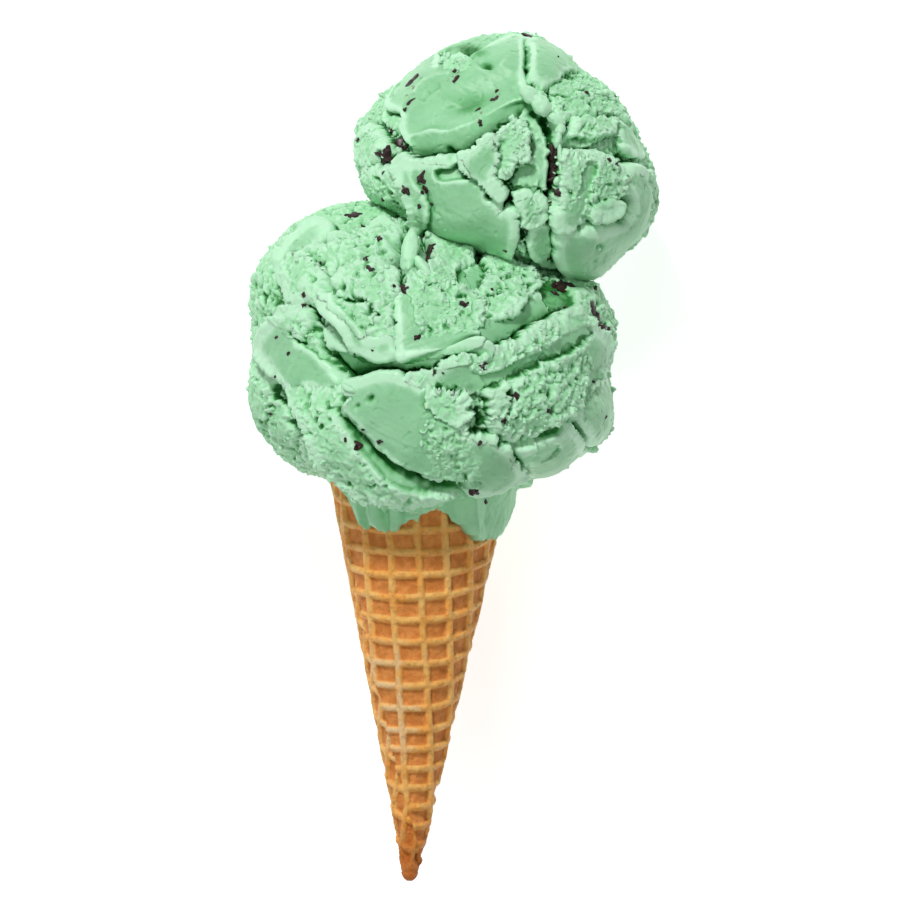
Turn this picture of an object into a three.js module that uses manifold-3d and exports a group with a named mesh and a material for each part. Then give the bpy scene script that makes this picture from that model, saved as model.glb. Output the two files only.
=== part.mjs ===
// Two scoops of mint ice cream with chocolate flakes on a rolled waffle cone, lying on its back.
// Millimetres, +Z up. +Y runs from the cone's tip to the top scoop, and the shown side faces +Z.
// The origin is the middle of the footprint, on the surface that the two scoops rest on.
import * as THREE from 'three';
import { mergeVertices } from 'three/addons/utils/BufferGeometryUtils.js';
import { ImprovedNoise } from 'three/addons/math/ImprovedNoise.js';
import Module from 'manifold-3d';

// Driving dimensions: the cone
const AXIS_HEIGHT = 41; // the cone's axis above the surface
const APEX = [-12, -118.4]; // where the cone's sides would meet, past the blunt tip
const LEAN = THREE.MathUtils.degToRad(1.3); // the axis leans to the right going up
const HALF_ANGLE = THREE.MathUtils.degToRad(12);
const RIM = 115.6; // the apex to the rim, along the axis
const TIP = 7.8; // the apex to the blunt tip
const WALL = 2.4; // the wafer's thickness over its ridges
const LAP = 1.3; // the step where the rolled wafer's outer edge ends
const LAP_BEARING = THREE.MathUtils.degToRad(-17.7); // that edge's direction in the flat wafer
const LAP_OFFSET = 7.6; // and its distance from the apex
const TIP_CUT = 10.5; // the waffle grid ends here, in the flat wafer
const TIP_SKEW = THREE.MathUtils.degToRad(30);
const TIP_TOP = 14.5; // the plain tip reaches up to here
const TIP_ROUNDING = [[0.5, 1], [1.6, 1.7]]; // rings of the blunt end: above the tip, radius
const BORE_END = 3; // the wafer's end is solid for this much more than its wall gives
const GRID_MARGIN = 1.1; // the waffle grid is laid out this many times as far as the rim
const RIM_SIDES = 16;
const NEAR = 0.02; // a corner of the grid this close to an edge of the wafer lies on it
const AROUND = 22; // the facets of what is plain and round

// Driving dimensions: the waffle grid, in the flat wafer before it is rolled
const ROW = 5.9;
const ROW_NEAR_TIP = 5.1;
const TIP_ROWS = 6;
const FIRST_ROW = 17.6;
const COLUMN = 7.5;
const COLUMN_SHIFT = 1.3;
const ROW_SLANT = THREE.MathUtils.degToRad(2.3);
const COLUMN_SLANT = THREE.MathUtils.degToRad(5);
const ROWS_BELOW = 5; // rows laid out below the first one that shows
const FOOT = 2.4; // a ridge's width at the floor of the cells
const CELL_DEPTH = 1.1;

// Driving dimensions: the ice cream
const GAP = 0.3; // between pieces that touch
const PLUG_DEPTH = 25; // how far the ice cream fills the cone's mouth
const PLUG_TOP = 3; // and how far above the rim it joins the scoop
const LOWER_DETAIL = 6; // the icosahedron's subdivision
const UPPER_DETAIL = 5;
const PLATE_DETAIL = 4;
const EDGE_STEP = 8; // the length of the steps along a plate's edge
const EDGE_RAGGED = 1.6; // how far a ragged edge wanders
const COLUMN_REACH = 60; // a plate's column reaches this far out of the scoop's middle
const BACK_FOLDS = 7;
const BACK_PLATES = 3;
const BACK_FLAKES = 6;
const FLAKE_CLEARANCE = 7; // no flake on the back lies lower than this
const BROAD_CRAG = 11; // the size of the broad lumps, and of the narrow ones on rough surfaces
const NARROW_CRAG = 5;
const END_FADE = 0.15; // the share of a fold or groove over which each end runs out
const FOLD_FOOT = 2; // the half-width of the groove at a fold's foot
const FLAKE_THICK = 1.1;
const LIFT_FADE = 4; // relief fades this close above the resting spot
const SIDE_FADE = 20; // and the plates' relief this close to the outline's plane
const SEED = 20;

const noise = new ImprovedNoise();
const wasm = await Module();
wasm.setup();

// A repeatable random number from 0 to 1
function makeRandom(seed) {
  let state = seed;
  return () => {
    state = (state * 16807) % 2147483647;
    return state / 2147483647;
  };
}

function smoothstep(t) {
  return THREE.MathUtils.smoothstep(t, 0, 1);
}

// Geometry to closed solids for the boolean cuts and joins, and back

function toSolid(geometry) {
  const bare = new THREE.BufferGeometry();
  bare.setAttribute('position', geometry.getAttribute('position'));
  if (geometry.index) bare.setIndex(geometry.index);
  const merged = mergeVertices(bare, 1e-4);
  return new wasm.Manifold(new wasm.Mesh({
    numProp: 3,
    vertProperties: new Float32Array(merged.getAttribute('position').array),
    triVerts: new Uint32Array(merged.index.array),
  }));
}

function toGeometry(solid) {
  const mesh = solid.getMesh();
  const geometry = new THREE.BufferGeometry();
  geometry.setAttribute('position', new THREE.BufferAttribute(new Float32Array(mesh.vertProperties), 3));
  geometry.setIndex(new THREE.BufferAttribute(new Uint32Array(mesh.triVerts), 1));
  return geometry;
}

// A closed body from rings of equal length, capped by a point at each end
function ringBody(startPoint, rings, endPoint) {
  const count = rings[0].length;
  const points = [startPoint, ...rings.flat(), endPoint];
  const last = points.length - 1;
  const faces = [];
  for (let i = 0; i < count; i += 1) {
    const next = (i + 1) % count;
    faces.push(0, 1 + next, 1 + i);
    for (let ring = 0; ring + 1 < rings.length; ring += 1) {
      const low = 1 + ring * count;
      const high = low + count;
      faces.push(low + i, low + next, high + next, low + i, high + next, high + i);
    }
    const top = 1 + (rings.length - 1) * count;
    faces.push(last, top + i, top + next);
  }
  const geometry = new THREE.BufferGeometry();
  geometry.setAttribute('position', new THREE.Float32BufferAttribute(points.flat(), 3));
  geometry.setIndex(faces);
  return geometry;
}

// The cone's own coordinates: along the axis from the apex, round it from the shown side, and out

function coneRadius(along) {
  return along * Math.tan(HALF_ANGLE);
}

function conePoint(along, turn, radius) {
  const across = radius * Math.sin(turn);
  return [
    APEX[0] + along * Math.sin(LEAN) + across * Math.cos(LEAN),
    APEX[1] + along * Math.cos(LEAN) - across * Math.sin(LEAN),
    AXIS_HEIGHT + radius * Math.cos(turn),
  ];
}

// The rolled wafer's outer edge is a straight edge in the flat wafer, LAP_OFFSET from the apex
function lapTurn(along) {
  const slant = along / Math.cos(HALF_ANGLE);
  return (LAP_BEARING + Math.asin(LAP_OFFSET / slant)) / Math.sin(HALF_ANGLE);
}

// The wafer's surface: it winds in by LAP over one turn from its outer edge
function waferPoint(along, share, height) {
  const turn = lapTurn(along) + share * 2 * Math.PI;
  return conePoint(along, turn, coneRadius(along) + LAP * (0.5 - share) + height);
}

// The flat wafer before it is rolled: the apex at its origin, the shown side's middle along +y

const FULL_TURN = 2 * Math.PI * Math.sin(HALF_ANGLE);

// From grid coordinates, whose rows and columns are slightly slanted, to the flat wafer
function fromGrid(column, row) {
  const determinant = Math.cos(COLUMN_SLANT - ROW_SLANT);
  return {
    x: (column * Math.cos(ROW_SLANT) - row * Math.sin(COLUMN_SLANT)) / determinant,
    y: (row * Math.cos(COLUMN_SLANT) + column * Math.sin(ROW_SLANT)) / determinant,
  };
}

// The grid's lines one way: a crest and the two sides of the floor beyond it, for each cell
function gridLines(edges) {
  const lines = [];
  edges.slice(0, -1).forEach((edge, i) => {
    lines.push({ at: edge, crest: true });
    lines.push({ at: edge + FOOT / 2, crest: false });
    lines.push({ at: edges[i + 1] - FOOT / 2, crest: false });
  });
  return lines;
}

function columnEdges() {
  const reach = Math.ceil((RIM * GRID_MARGIN) / COLUMN);
  return Array.from({ length: 2 * reach + 1 }, (_, i) => COLUMN_SHIFT + (i - reach) * COLUMN);
}

function rowEdges() {
  const edges = [FIRST_ROW - ROWS_BELOW * ROW_NEAR_TIP];
  while (edges[edges.length - 1] < RIM * GRID_MARGIN) {
    const pitch = edges.length <= TIP_ROWS + ROWS_BELOW ? ROW_NEAR_TIP : ROW;
    edges.push(edges[edges.length - 1] + pitch);
  }
  return edges;
}

// The wafer's straight cuts, as a direction, a distance and the name of the edge they leave
function waferCuts() {
  const across = (bearing) => ({ x: Math.cos(bearing), y: -Math.sin(bearing) });
  const towards = (bearing) => ({ x: Math.sin(bearing), y: Math.cos(bearing) });
  const flip = ({ x, y }) => ({ x: -x, y: -y });
  const rim = RIM / Math.cos(HALF_ANGLE);
  const first = LAP_BEARING;
  const cuts = [
    { normal: across(first), distance: LAP_OFFSET, edge: 'outer' },
    { normal: flip(across(first + FULL_TURN)), distance: -LAP_OFFSET, edge: 'inner' },
    { normal: towards(first + FULL_TURN / 2 + TIP_SKEW), distance: TIP_CUT, edge: 'tip' },
  ];
  const step = FULL_TURN / RIM_SIDES;
  for (let side = 0; side <= RIM_SIDES; side += 1) {
    cuts.push({ normal: flip(towards(first + (side + 0.5) * step)), distance: -rim, edge: 'rim' });
  }
  return cuts;
}

// How far inside a cut a spot of the flat wafer is
function inside(spot, cut) {
  return spot.x * cut.normal.x + spot.y * cut.normal.y - cut.distance;
}

// Where the edge from a to b crosses a cut; the same from either side of the edge
function crossing(a, b, cut) {
  const [p, q] = a.x < b.x || (a.x === b.x && a.y < b.y) ? [a, b] : [b, a];
  const t = inside(p, cut) / (inside(p, cut) - inside(q, cut));
  return {
    x: THREE.MathUtils.lerp(p.x, q.x, t),
    y: THREE.MathUtils.lerp(p.y, q.y, t),
    height: THREE.MathUtils.lerp(p.height, q.height, t),
  };
}

// A corner closer to a cut than NEAR counts as lying on it
function clip(polygon, cut) {
  const kept = [];
  polygon.forEach((spot, i) => {
    const next = polygon[(i + 1) % polygon.length];
    const here = inside(spot, cut);
    const there = inside(next, cut);
    if (here > -NEAR) kept.push(spot);
    if (Math.min(here, there) < -NEAR && Math.max(here, there) > NEAR) kept.push(crossing(spot, next, cut));
  });
  return kept;
}

// The waffle relief of the flat wafer: its corners, and its faces as lists of corners
function waferSheet() {
  const columns = gridLines(columnEdges());
  const rows = gridLines(rowEdges());
  const cuts = waferCuts();
  const corners = new Map();
  const faces = [];
  const cornerKey = (spot) => {
    const key = `${spot.x.toFixed(3)} ${spot.y.toFixed(3)}`;
    if (!corners.has(key)) corners.set(key, { ...spot, index: corners.size });
    return key;
  };
  const gridCorner = (column, row) => ({
    ...fromGrid(column.at, row.at),
    height: column.crest || row.crest ? 0 : -CELL_DEPTH,
  });
  for (let i = 0; i + 1 < columns.length; i += 1) {
    for (let j = 0; j + 1 < rows.length; j += 1) {
      let polygon = [
        gridCorner(columns[i], rows[j]), gridCorner(columns[i + 1], rows[j]),
        gridCorner(columns[i + 1], rows[j + 1]), gridCorner(columns[i], rows[j + 1]),
      ];
      for (const cut of cuts) polygon = clip(polygon, cut);
      const keys = polygon.map(cornerKey).filter((key, k, all) => key !== all[(k + 1) % all.length]);
      for (let k = 1; k + 1 < keys.length; k += 1) {
        if (new Set([keys[0], keys[k], keys[k + 1]]).size === 3) faces.push([keys[0], keys[k], keys[k + 1]]);
      }
    }
  }
  return { corners, faces };
}

// The corners along one edge of the flat wafer, in order
function edgeCorners(sheet, edge) {
  const cuts = waferCuts().filter((cut) => cut.edge === edge);
  const on = (spot) => cuts.some((cut) => Math.abs(inside(spot, cut)) <= NEAR);
  const found = [...sheet.corners.values()].filter(on);
  const byBearing = (a, b) => Math.atan2(a.x, a.y) - Math.atan2(b.x, b.y);
  const bySlant = (a, b) => Math.hypot(a.x, a.y) - Math.hypot(b.x, b.y);
  return found.sort(edge === 'rim' || edge === 'tip' ? byBearing : bySlant);
}

function roll(spot, edge) {
  const slant = Math.hypot(spot.x, spot.y);
  const along = slant * Math.cos(HALF_ANGLE);
  const bearing = Math.atan2(spot.x, spot.y);
  let share = (bearing - LAP_BEARING - Math.asin(LAP_OFFSET / slant)) / FULL_TURN;
  if (edge === 'outer') share = 0;
  if (edge === 'inner') share = 1;
  return waferPoint(along, share, spot.height);
}

// The step at the wafer's outer edge joins the edge's two sides, by whichever corner comes next
function lapFaces(outer, inner) {
  const faces = [];
  const slant = (spot) => Math.hypot(spot.x, spot.y);
  let i = 0;
  let j = 0;
  while (i + 1 < outer.length || j + 1 < inner.length) {
    const stepOuter = j + 1 >= inner.length
      || (i + 1 < outer.length && slant(outer[i + 1]) < slant(inner[j + 1]));
    if (stepOuter) {
      faces.push([outer[i].index, outer[i + 1].index, inner[j].index]);
      i += 1;
    } else {
      faces.push([outer[i].index, inner[j + 1].index, inner[j].index]);
      j += 1;
    }
  }
  return faces;
}

// The rolled wafer as a solid, before it is bored out
function rolledWafer() {
  const sheet = waferSheet();
  const outer = edgeCorners(sheet, 'outer');
  const inner = edgeCorners(sheet, 'inner');
  const points = [];
  for (const spot of sheet.corners.values()) {
    const edge = outer.includes(spot) ? 'outer' : inner.includes(spot) && 'inner';
    points.push(roll(spot, edge));
  }
  const faces = sheet.faces.map((keys) => keys.map((key) => sheet.corners.get(key).index));
  faces.push(...lapFaces(outer, inner));
  const capEnds = { rim: [points.length, RIM], tip: [points.length + 1, TIP_CUT] };
  points.push(conePoint(RIM, 0, 0), conePoint(TIP_CUT, 0, 0));
  for (const [edge, [centre]] of Object.entries(capEnds)) {
    const loop = edgeCorners(sheet, edge).map((spot) => spot.index);
    loop.forEach((corner, i) => {
      const next = loop[(i + 1) % loop.length];
      faces.push(edge === 'rim' ? [centre, corner, next] : [centre, next, corner]);
    });
  }
  const geometry = new THREE.BufferGeometry();
  geometry.setAttribute('position', new THREE.Float32BufferAttribute(points.flat(), 3));
  geometry.setIndex(faces.flat());
  return toSolid(geometry);
}

// A plain ring round the axis, of as many corners everywhere
function plainRing(along, radius) {
  return Array.from({ length: AROUND }, (_, i) => conePoint(along, (i / AROUND) * 2 * Math.PI, radius));
}

function bore() {
  const deepest = WALL / Math.tan(HALF_ANGLE) + BORE_END;
  const rings = [deepest, RIM + 1].map((along) => plainRing(along, coneRadius(along) - WALL));
  return toSolid(ringBody(conePoint(deepest - 1, 0, 0), rings, conePoint(RIM + 1, 0, 0)));
}

function bluntTip() {
  const rounding = TIP_ROUNDING.map(([above, radius]) => plainRing(TIP + above, radius));
  const bodies = [...rounding, plainRing(TIP_TOP, coneRadius(TIP_TOP) + 0.2)];
  return toSolid(ringBody(conePoint(TIP, 0, 0), bodies, conePoint(TIP_TOP, 0, 0)));
}

function waffleCone() {
  return rolledWafer().add(bluntTip()).subtract(bore());
}

// The room that the cone's wall takes up in the ice cream, with the gap round it
function wallRoom() {
  const low = RIM - PLUG_DEPTH - 5;
  const ring = (along, outward) => Array.from({ length: AROUND + 1 }, (_, i) => (
    waferPoint(along, i / AROUND, outward)));
  const bored = (along) => Array.from({ length: AROUND + 1 }, (_, i) => (
    conePoint(along, lapTurn(along) + (i / (AROUND + 1)) * 2 * Math.PI, coneRadius(along) - WALL - GAP)));
  const rings = [low, RIM - PLUG_DEPTH / 2, RIM + GAP].map((along) => ring(along, GAP));
  rings.push(bored(RIM + GAP), bored(low + 2));
  return toSolid(ringBody(conePoint(low, 0, 0), rings, conePoint(low + 1, 0, 0)));
}

// The scoops: each has an outline seen from the front, a depth, plates, folds, lumps, hollows and flakes.
// Places are millimetres from the scoop's centre, x to the right and y towards the top.
// A plate is a torn or scraped slab that lies over those before it: how far its top rises above the
// smooth body, the direction in degrees that it leans up in and its slope, its crown or dish, how
// ragged its edge is, and how smooth its top. A fold's raised side is on the left of its path.
const UPPER = {
  centre: [14.3, 77, 36],
  front: 37,
  back: 37.2,
  clear: [-12, 40], // how far down and up the back's flakes keep clear of the other pieces
  squareFoot: 1.8,
  footTurn: THREE.MathUtils.degToRad(-110),
  outline: [
    [38.3, -10.4], [37.2, -1.3], [33.5, 5.2], [31.2, 10.9], [26, 18.2], [18.8, 23.6], [12.7, 29.2],
    [6.3, 32.4], [-0.8, 32.9], [-7.8, 32.3], [-18.2, 28.6], [-28.3, 20.8], [-33.3, 16.9], [-39.5, 7.3],
    [-39.5, -1.3], [-36.9, -8.8], [-29.9, -14], [-24.7, -18.7], [-16.9, -22.1], [-7.8, -23.4],
    [2.6, -28.9], [14.4, -31], [22.6, -30.6], [29.8, -24], [35.2, -18.8],
  ],
  plates: [
    { outline: [[-38.8, 6.4], [-36.4, 8.2], [-33.7, 7.2], [-31, 1.5], [-35.6, -1.6], [-38.2, -0.4],
      [-39.6, 2.8]], rise: 1.6, lean: [170, 0.15], crown: 0.5, ragged: 0.3, smooth: 0.85 },
    { outline: [[-36.5, -2.2], [-29.4, -3.4], [-23.4, -15], [-26.5, -16.8], [-31.5, -13.4], [-36.2,
      -8]], rise: 0.9, lean: [150, 0.1], crown: 0.6, ragged: 0.8, smooth: 0.1 },
    { outline: [[-19, 28], [-29, 20], [-31.4, 15.6], [-31, 12.8], [-28.2, 12.2], [-26.2, 0.5], [-21.8,
      -1.2], [-13, -1.2], [0.8, 8.4], [4.3, 14.3], [3.9, 30.4], [0.8, 31.9], [-8.8, 26.2], [-18.2,
      23.6]], rise: 0.7, lean: [100, 0.03], crown: 0, ragged: 0.12, smooth: 0.97 },
    { outline: [[-25.8, 4.8], [-12.5, 7.7], [4.5, 14.3], [-3, 4], [-13, -2], [-26.4, 0]], rise: -2.1,
      lean: [110, 0.7], crown: 1.5, ragged: 0, smooth: 0.93 },
    { outline: [[-17.5, 27.6], [-8, 33.4], [-2.2, 31.2], [-8.9, 27.2]], rise: -3, lean: [75, 0.5],
      crown: 0, ragged: 0.3, smooth: 0.5 },
    { outline: [[4.5, 30.4], [8.5, 31.7], [13.9, 29.8], [25.5, 20.5], [33, 6], [26.6, 9], [11.8, 10],
      [10.6, 17.8], [4.4, 20.5]], rise: 0.4, lean: [0, 0], crown: 0.3, ragged: 0.4, smooth: 0.2 },
    { outline: [[15.9, 10.3], [25.9, 9.3], [25.7, 5.8], [14.5, 2.6], [13, 4]], rise: 1.9, lean: [-70,
      0.16], crown: 0.3, ragged: 0.4, smooth: 0.35 },
    { outline: [[25.4, 9.9], [31.3, 6.6], [34.6, 2.7], [34.4, 0.3], [28.8, 1.6]], rise: 1.5, lean:
      [200, 0.28], crown: 0.2, ragged: 0.2, smooth: 0.95 },
    { outline: [[28.1, -2.9], [31.8, -2.1], [35.5, -4.8], [37.4, -8.5], [36.6, -15.9], [34.2, -22],
      [25, -30.5], [24.2, -34], [17.5, -34], [11.6, -25.9], [11.4, -21.2], [12.4, -19], [28.4, -17],
      [30.4, -13.6]], rise: 1.8, lean: [110, 0.04], crown: 0.5, ragged: 0.2, smooth: 0.93 },
    { outline: [[4.6, 14.3], [9.6, 10], [9.9, -10], [6.7, -10], [3.4, 5], [2.6, 10]], rise: -1, lean:
      [0, 0], crown: 0.4, ragged: 0.3, smooth: 0.85 },
    { outline: [[0.6, -9.7], [8.2, -10.5], [8.2, -16.5], [5.4, -18.3], [2.9, -16.8]], rise: 1, lean:
      [0, 0], crown: 0.1, ragged: 0.9, smooth: 0.8 },
    { outline: [[13, 0.7], [21.2, 0.9], [28.1, -2.9], [29.2, -5.3], [26.4, -12.9], [11.6, -18.3],
      [10.9, -11.4]], rise: 2.5, lean: [85, 0.05], crown: 0.3, ragged: 0.7, smooth: 0.12 },
    { outline: [[-28.1, -1], [-12.9, -0.3], [-4.7, -10.9], [-3.1, -10.9], [-2.9, -14.1], [0.8, -13.3],
      [0.6, -22.9], [-1.6, -25.9], [-6, -22.7], [-11.4, -24.6], [-22, -21.5], [-24.4, -18.4], [-23.4,
      -15.4]], rise: 2.3, lean: [100, 0.03], crown: -0.4, ragged: 0.35, smooth: 0.95 },
    { outline: [[-3.4, 5], [0.8, 8.9], [4.6, 5.8], [3.8, -0.8], [1.5, -0.3], [-2.2, -5.5], [-3.9,
      -3.5]], rise: 2.7, lean: [90, 0.12], crown: 0, ragged: 0.7, smooth: 0.15 },
    { outline: [[-12.7, -0.3], [-3.4, 5], [-2.7, -1.4], [-4.5, -4.6], [-1.1, -9.1], [-3.1, -10.7],
      [-12.2, -2.6]], rise: 3.5, lean: [110, 0.05], crown: 0.1, ragged: 0.45, smooth: 0.9 },
  ],
  floor: -1.6,
  folds: [
    { path: [[13, 2], [16, 3], [19.5, 3.5], [25.5, 6.5]], rise: 1.2, reach: 3, groove: 2.4 },
    { path: [[37, -1.5], [31.5, 8], [27, 10]], rise: 0.9, reach: 3, groove: 0.9 },
  ],
  grooves: [
    { path: [[-22, 9.4], [-14, 8.4], [-7.8, 10.8], [2.8, 15.6]], depth: -1, width: 2 }, // the rounded lip
    { path: [[4, 30.5], [4, 25.5], [4.5, 20.5]], depth: 3.4, width: 1.2 },
    { path: [[10.5, 9], [10.8, -5.5], [10.7, -17]], depth: 3.4, width: 1.3 },
    { path: [[13.5, 0.8], [21, 1.5], [30, -2.5]], depth: 2.8, width: 1.3 },
    { path: [[-28, 13], [-30, 9], [-28.5, 4], [-26, -9]], depth: 2.4, width: 1.5 },
    { path: [[12, -18.5], [18, -17], [25, -15.5]], depth: 2.2, width: 1.3 },
  ],
  mounds: [
    { at: [-10, 14.4], across: 12, along: 4, tilt: 22, rise: -2.8 },
    { at: [7, 15.4], across: 4.2, along: 2.4, tilt: -32, rise: 3.2 },
    { at: [12, 4], across: 1.4, along: 7, tilt: 5, rise: 1.6 },
    { at: [-32, 12], across: 3.5, along: 5, tilt: 0, rise: 0.9 },
    { at: [-29, 19], across: 3, along: 3.5, tilt: 30, rise: 1 },
  ],
  flakes: [
    [10.7, -1.8, 8.3, 1.8, 90], [-32.5, 0, 6.5, 1.9, 55], [-29.1, 3.9, 4, 3.2, 60],
    [-22.6, -6.8, 6.3, 1.8, -60], [-25.2, 20.3, 4.7, 1.7, 55], [4.4, 32.6, 4.4, 2.2, -10],
    [-14.3, 19.5, 3.6, 1.8, 50], [-27, -8.8, 3.1, 2.2, -70], [12.2, -9.6, 2.8, 2.2, -60],
    [-26, 14.3, 3.4, 1.8, 45], [-3.9, 14.8, 2.2, 2, 0], [-7.8, 9.1, 2.3, 1.5, 90],
  ],
};

const LOWER = {
  centre: [-6, 21.8, 41],
  front: 43,
  back: 42.6,
  clear: [-18, 18],
  squareFoot: 0.8,
  footTurn: THREE.MathUtils.degToRad(-90),
  outline: [
    [43.2, 22], [46.8, 14.8], [47.8, 8.8], [46, -0.8], [47.1, -9.4], [45.2, -17.2], [37.4, -22.4],
    [32, -26.5], [24.2, -28.1], [17, -31.5], [4, -33.5], [-12, -33], [-23.9, -28.1], [-34.8, -25],
    [-44.7, -15.3], [-47.6, -5.5], [-46.3, 5.7], [-47.1, 18.7], [-46, 26], [-39.5, 34.8], [-30.9, 41.1],
    [-21.3, 43.9], [-8.3, 43.4], [7.3, 35.4], [25.5, 29.6], [37.2, 26],
  ],
  plates: [
    { outline: [[-48.5, 3], [-40.6, 0.9], [-37, -3], [-33, -10.5], [-26, -18], [-24, -28], [-30, -29],
      [-36, -27], [-45, -19], [-49, -12]], rise: -3.6, lean: [190, 0.1], crown: 0.4, ragged: 0.5,
      smooth: 0 },
    { outline: [[-38.8, 12], [-35.1, 15.6], [-31.3, 14.4], [-22, -2.4], [-26, -4.4], [-38, -2.8],
      [-44, 4.6], [-41, 11]], rise: 0.6, lean: [160, 0.1], crown: 0.5, ragged: 0.6, smooth: 0 },
    { outline: [[-40.8, 0.7], [-44, 4.6], [-42.4, 8.5], [-36.7, 13], [-33, 6.4], [-22.3, -2.3], [-26,
      -4.4], [-35.6, -3.4]], rise: 1.7, lean: [125, 0.14], crown: 0.3, ragged: 0.35, smooth: 0.93 },
    { outline: [[-33.7, 29.1], [-30.8, 31.7], [-18.1, 33.2], [-8.8, 37.6], [-9.8, 29.9], [-12.6,
      28.6], [-22.1, 25.8], [-23.6, 27], [-25.6, 25.2]], rise: 1.5, lean: [100, 0.1], crown: 0.3,
      ragged: 0.8, smooth: 0.05 },
    { outline: [[-36.9, 24.6], [-33.7, 29.3], [-28.2, 27.4], [-26.3, 20], [-34.3, 16.6], [-37, 20.3]],
      rise: 2.3, lean: [120, 0.1], crown: 0.5, ragged: 0.9, smooth: 0.05 },
    { outline: [[-24.5, 22.7], [-18.1, 28.3], [-10.1, 26.9], [-8.6, 21.9], [-9.5, 9], [-14.6, 8.6],
      [-13.3, 14.7], [-15.7, 17.9], [-23.4, 19.5]], rise: 1.8, lean: [100, 0.05], crown: 0.4, ragged:
      0.8, smooth: 0 },
    { outline: [[-26.8, 18.7], [-25.2, 19.8], [-15, 17.9], [-12.6, 13.4], [-14.4, 9], [-17.5, 8.6]],
      rise: 2.1, lean: [150, 0.05], crown: 0, ragged: 0.7, smooth: 0.1 },
    { outline: [[-27.6, 16.6], [-25.2, 19.6], [-16.2, 7.8], [-9.7, 9.2], [-8.9, 4.2], [-14, 2.8],
      [-19.6, 4], [-22, 10.2]], rise: 2.4, lean: [130, 0.1], crown: 0.1, ragged: 0.2, smooth: 0.97 },
    { outline: [[-9.2, 18.3], [0.3, 26.3], [3.7, 27], [7, 25], [12.2, 15.7], [11.2, 6.4], [-8.4,
      3.2]], rise: 1, lean: [-90, 0.02], crown: 0.1, ragged: 0.2, smooth: 0.95 },
    { outline: [[12.6, 21], [14.3, 30.5], [26.6, 24], [26.2, 20.6], [21.8, 14.9], [18.3, 13.4], [15.1,
      13.1], [12.2, 15.6], [10.6, 18.9]], rise: 1.5, lean: [100, 0.06], crown: 0.3, ragged: 0.9, smooth:
      0 },
    { outline: [[11.9, 13.2], [21.4, 14.4], [28.6, 22.6], [33, 22], [34.6, 17], [33.6, 13.5], [17.9,
      4.6], [12, 7.8]], rise: -1.4, lean: [130, 0.36], crown: -0.5, ragged: 0.15, smooth: 1 },
    { outline: [[-26.6, 4.9], [-10.6, 2.4], [11.2, 7.7], [14.8, 5.9], [11.7, 2.6], [2.1, 0], [0.8,
      -2], [-21.3, -3.6]], rise: -1.4, lean: [78, 0.6], crown: 0.2, ragged: 0, smooth: 1 },
    { outline: [[40, -2.5], [45.8, -1.5], [48.4, -8.2], [47, -16.5], [42, -18.8], [38.2, -17.8],
      [34.3, -12.4]], rise: 0.9, lean: [0, 0], crown: 0.8, ragged: 0.3, smooth: 0.85 },
    { outline: [[26.7, -15.3], [33.1, -13], [38.2, -18.6], [38.8, -22.9], [32.8, -27.6], [23, -31],
      [22.4, -25.5]], rise: 1.6, lean: [100, 0.12], crown: 1, ragged: 0.25, smooth: 0.9 },
    { outline: [[19.1, -1.9], [40.8, 9.7], [43.7, 8.6], [43.7, 2.6], [38.9, -7], [34.1, -12.3], [25.5,
      -17.1], [19.2, -17.8], [15, -15.2], [18.4, -9]], rise: 2.3, lean: [100, 0.05], crown: 0.4, ragged:
      0.8, smooth: 0.05 },
    { outline: [[21.1, 6.8], [25.1, 10.7], [34.7, 15.3], [38.4, 15.2], [41.2, 10.6], [33.6, 4.5],
      [12.5, -5.2], [-0.5, -4.1], [-6.8, -1.6], [0.9, -0.6], [5.1, 3]], rise: 2.6, lean: [105, 0.05],
      crown: 0, ragged: 0.6, smooth: 0.1 },
    { outline: [[1.6, -0.5], [3, 1.9], [15, -0.4], [36, 10.4], [40.6, 11.8], [41.4, 10.5], [33.6,
      4.3], [12.5, -5.4], [-0.5, -4.3], [-6, -1.8]], rise: 1.9, lean: [108, 0.3], crown: 0, ragged: 0.3,
      smooth: 0.92 },
    { outline: [[7, -5.4], [12.7, -5.4], [15.4, -17], [11, -17], [7, -14]], rise: -1, lean: [-80,
      0.18], crown: 0, ragged: 0.3, smooth: 0.1 },
    { outline: [[-38.2, -2.8], [-20.7, -5.4], [-19.9, -7], [-22.1, -8.5], [-20, -14], [-4, -26], [11,
      -26.4], [-1.6, -30], [-15.5, -28.2], [-26, -21]], rise: 3.4, lean: [-110, 0.42], crown: 0.4,
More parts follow.
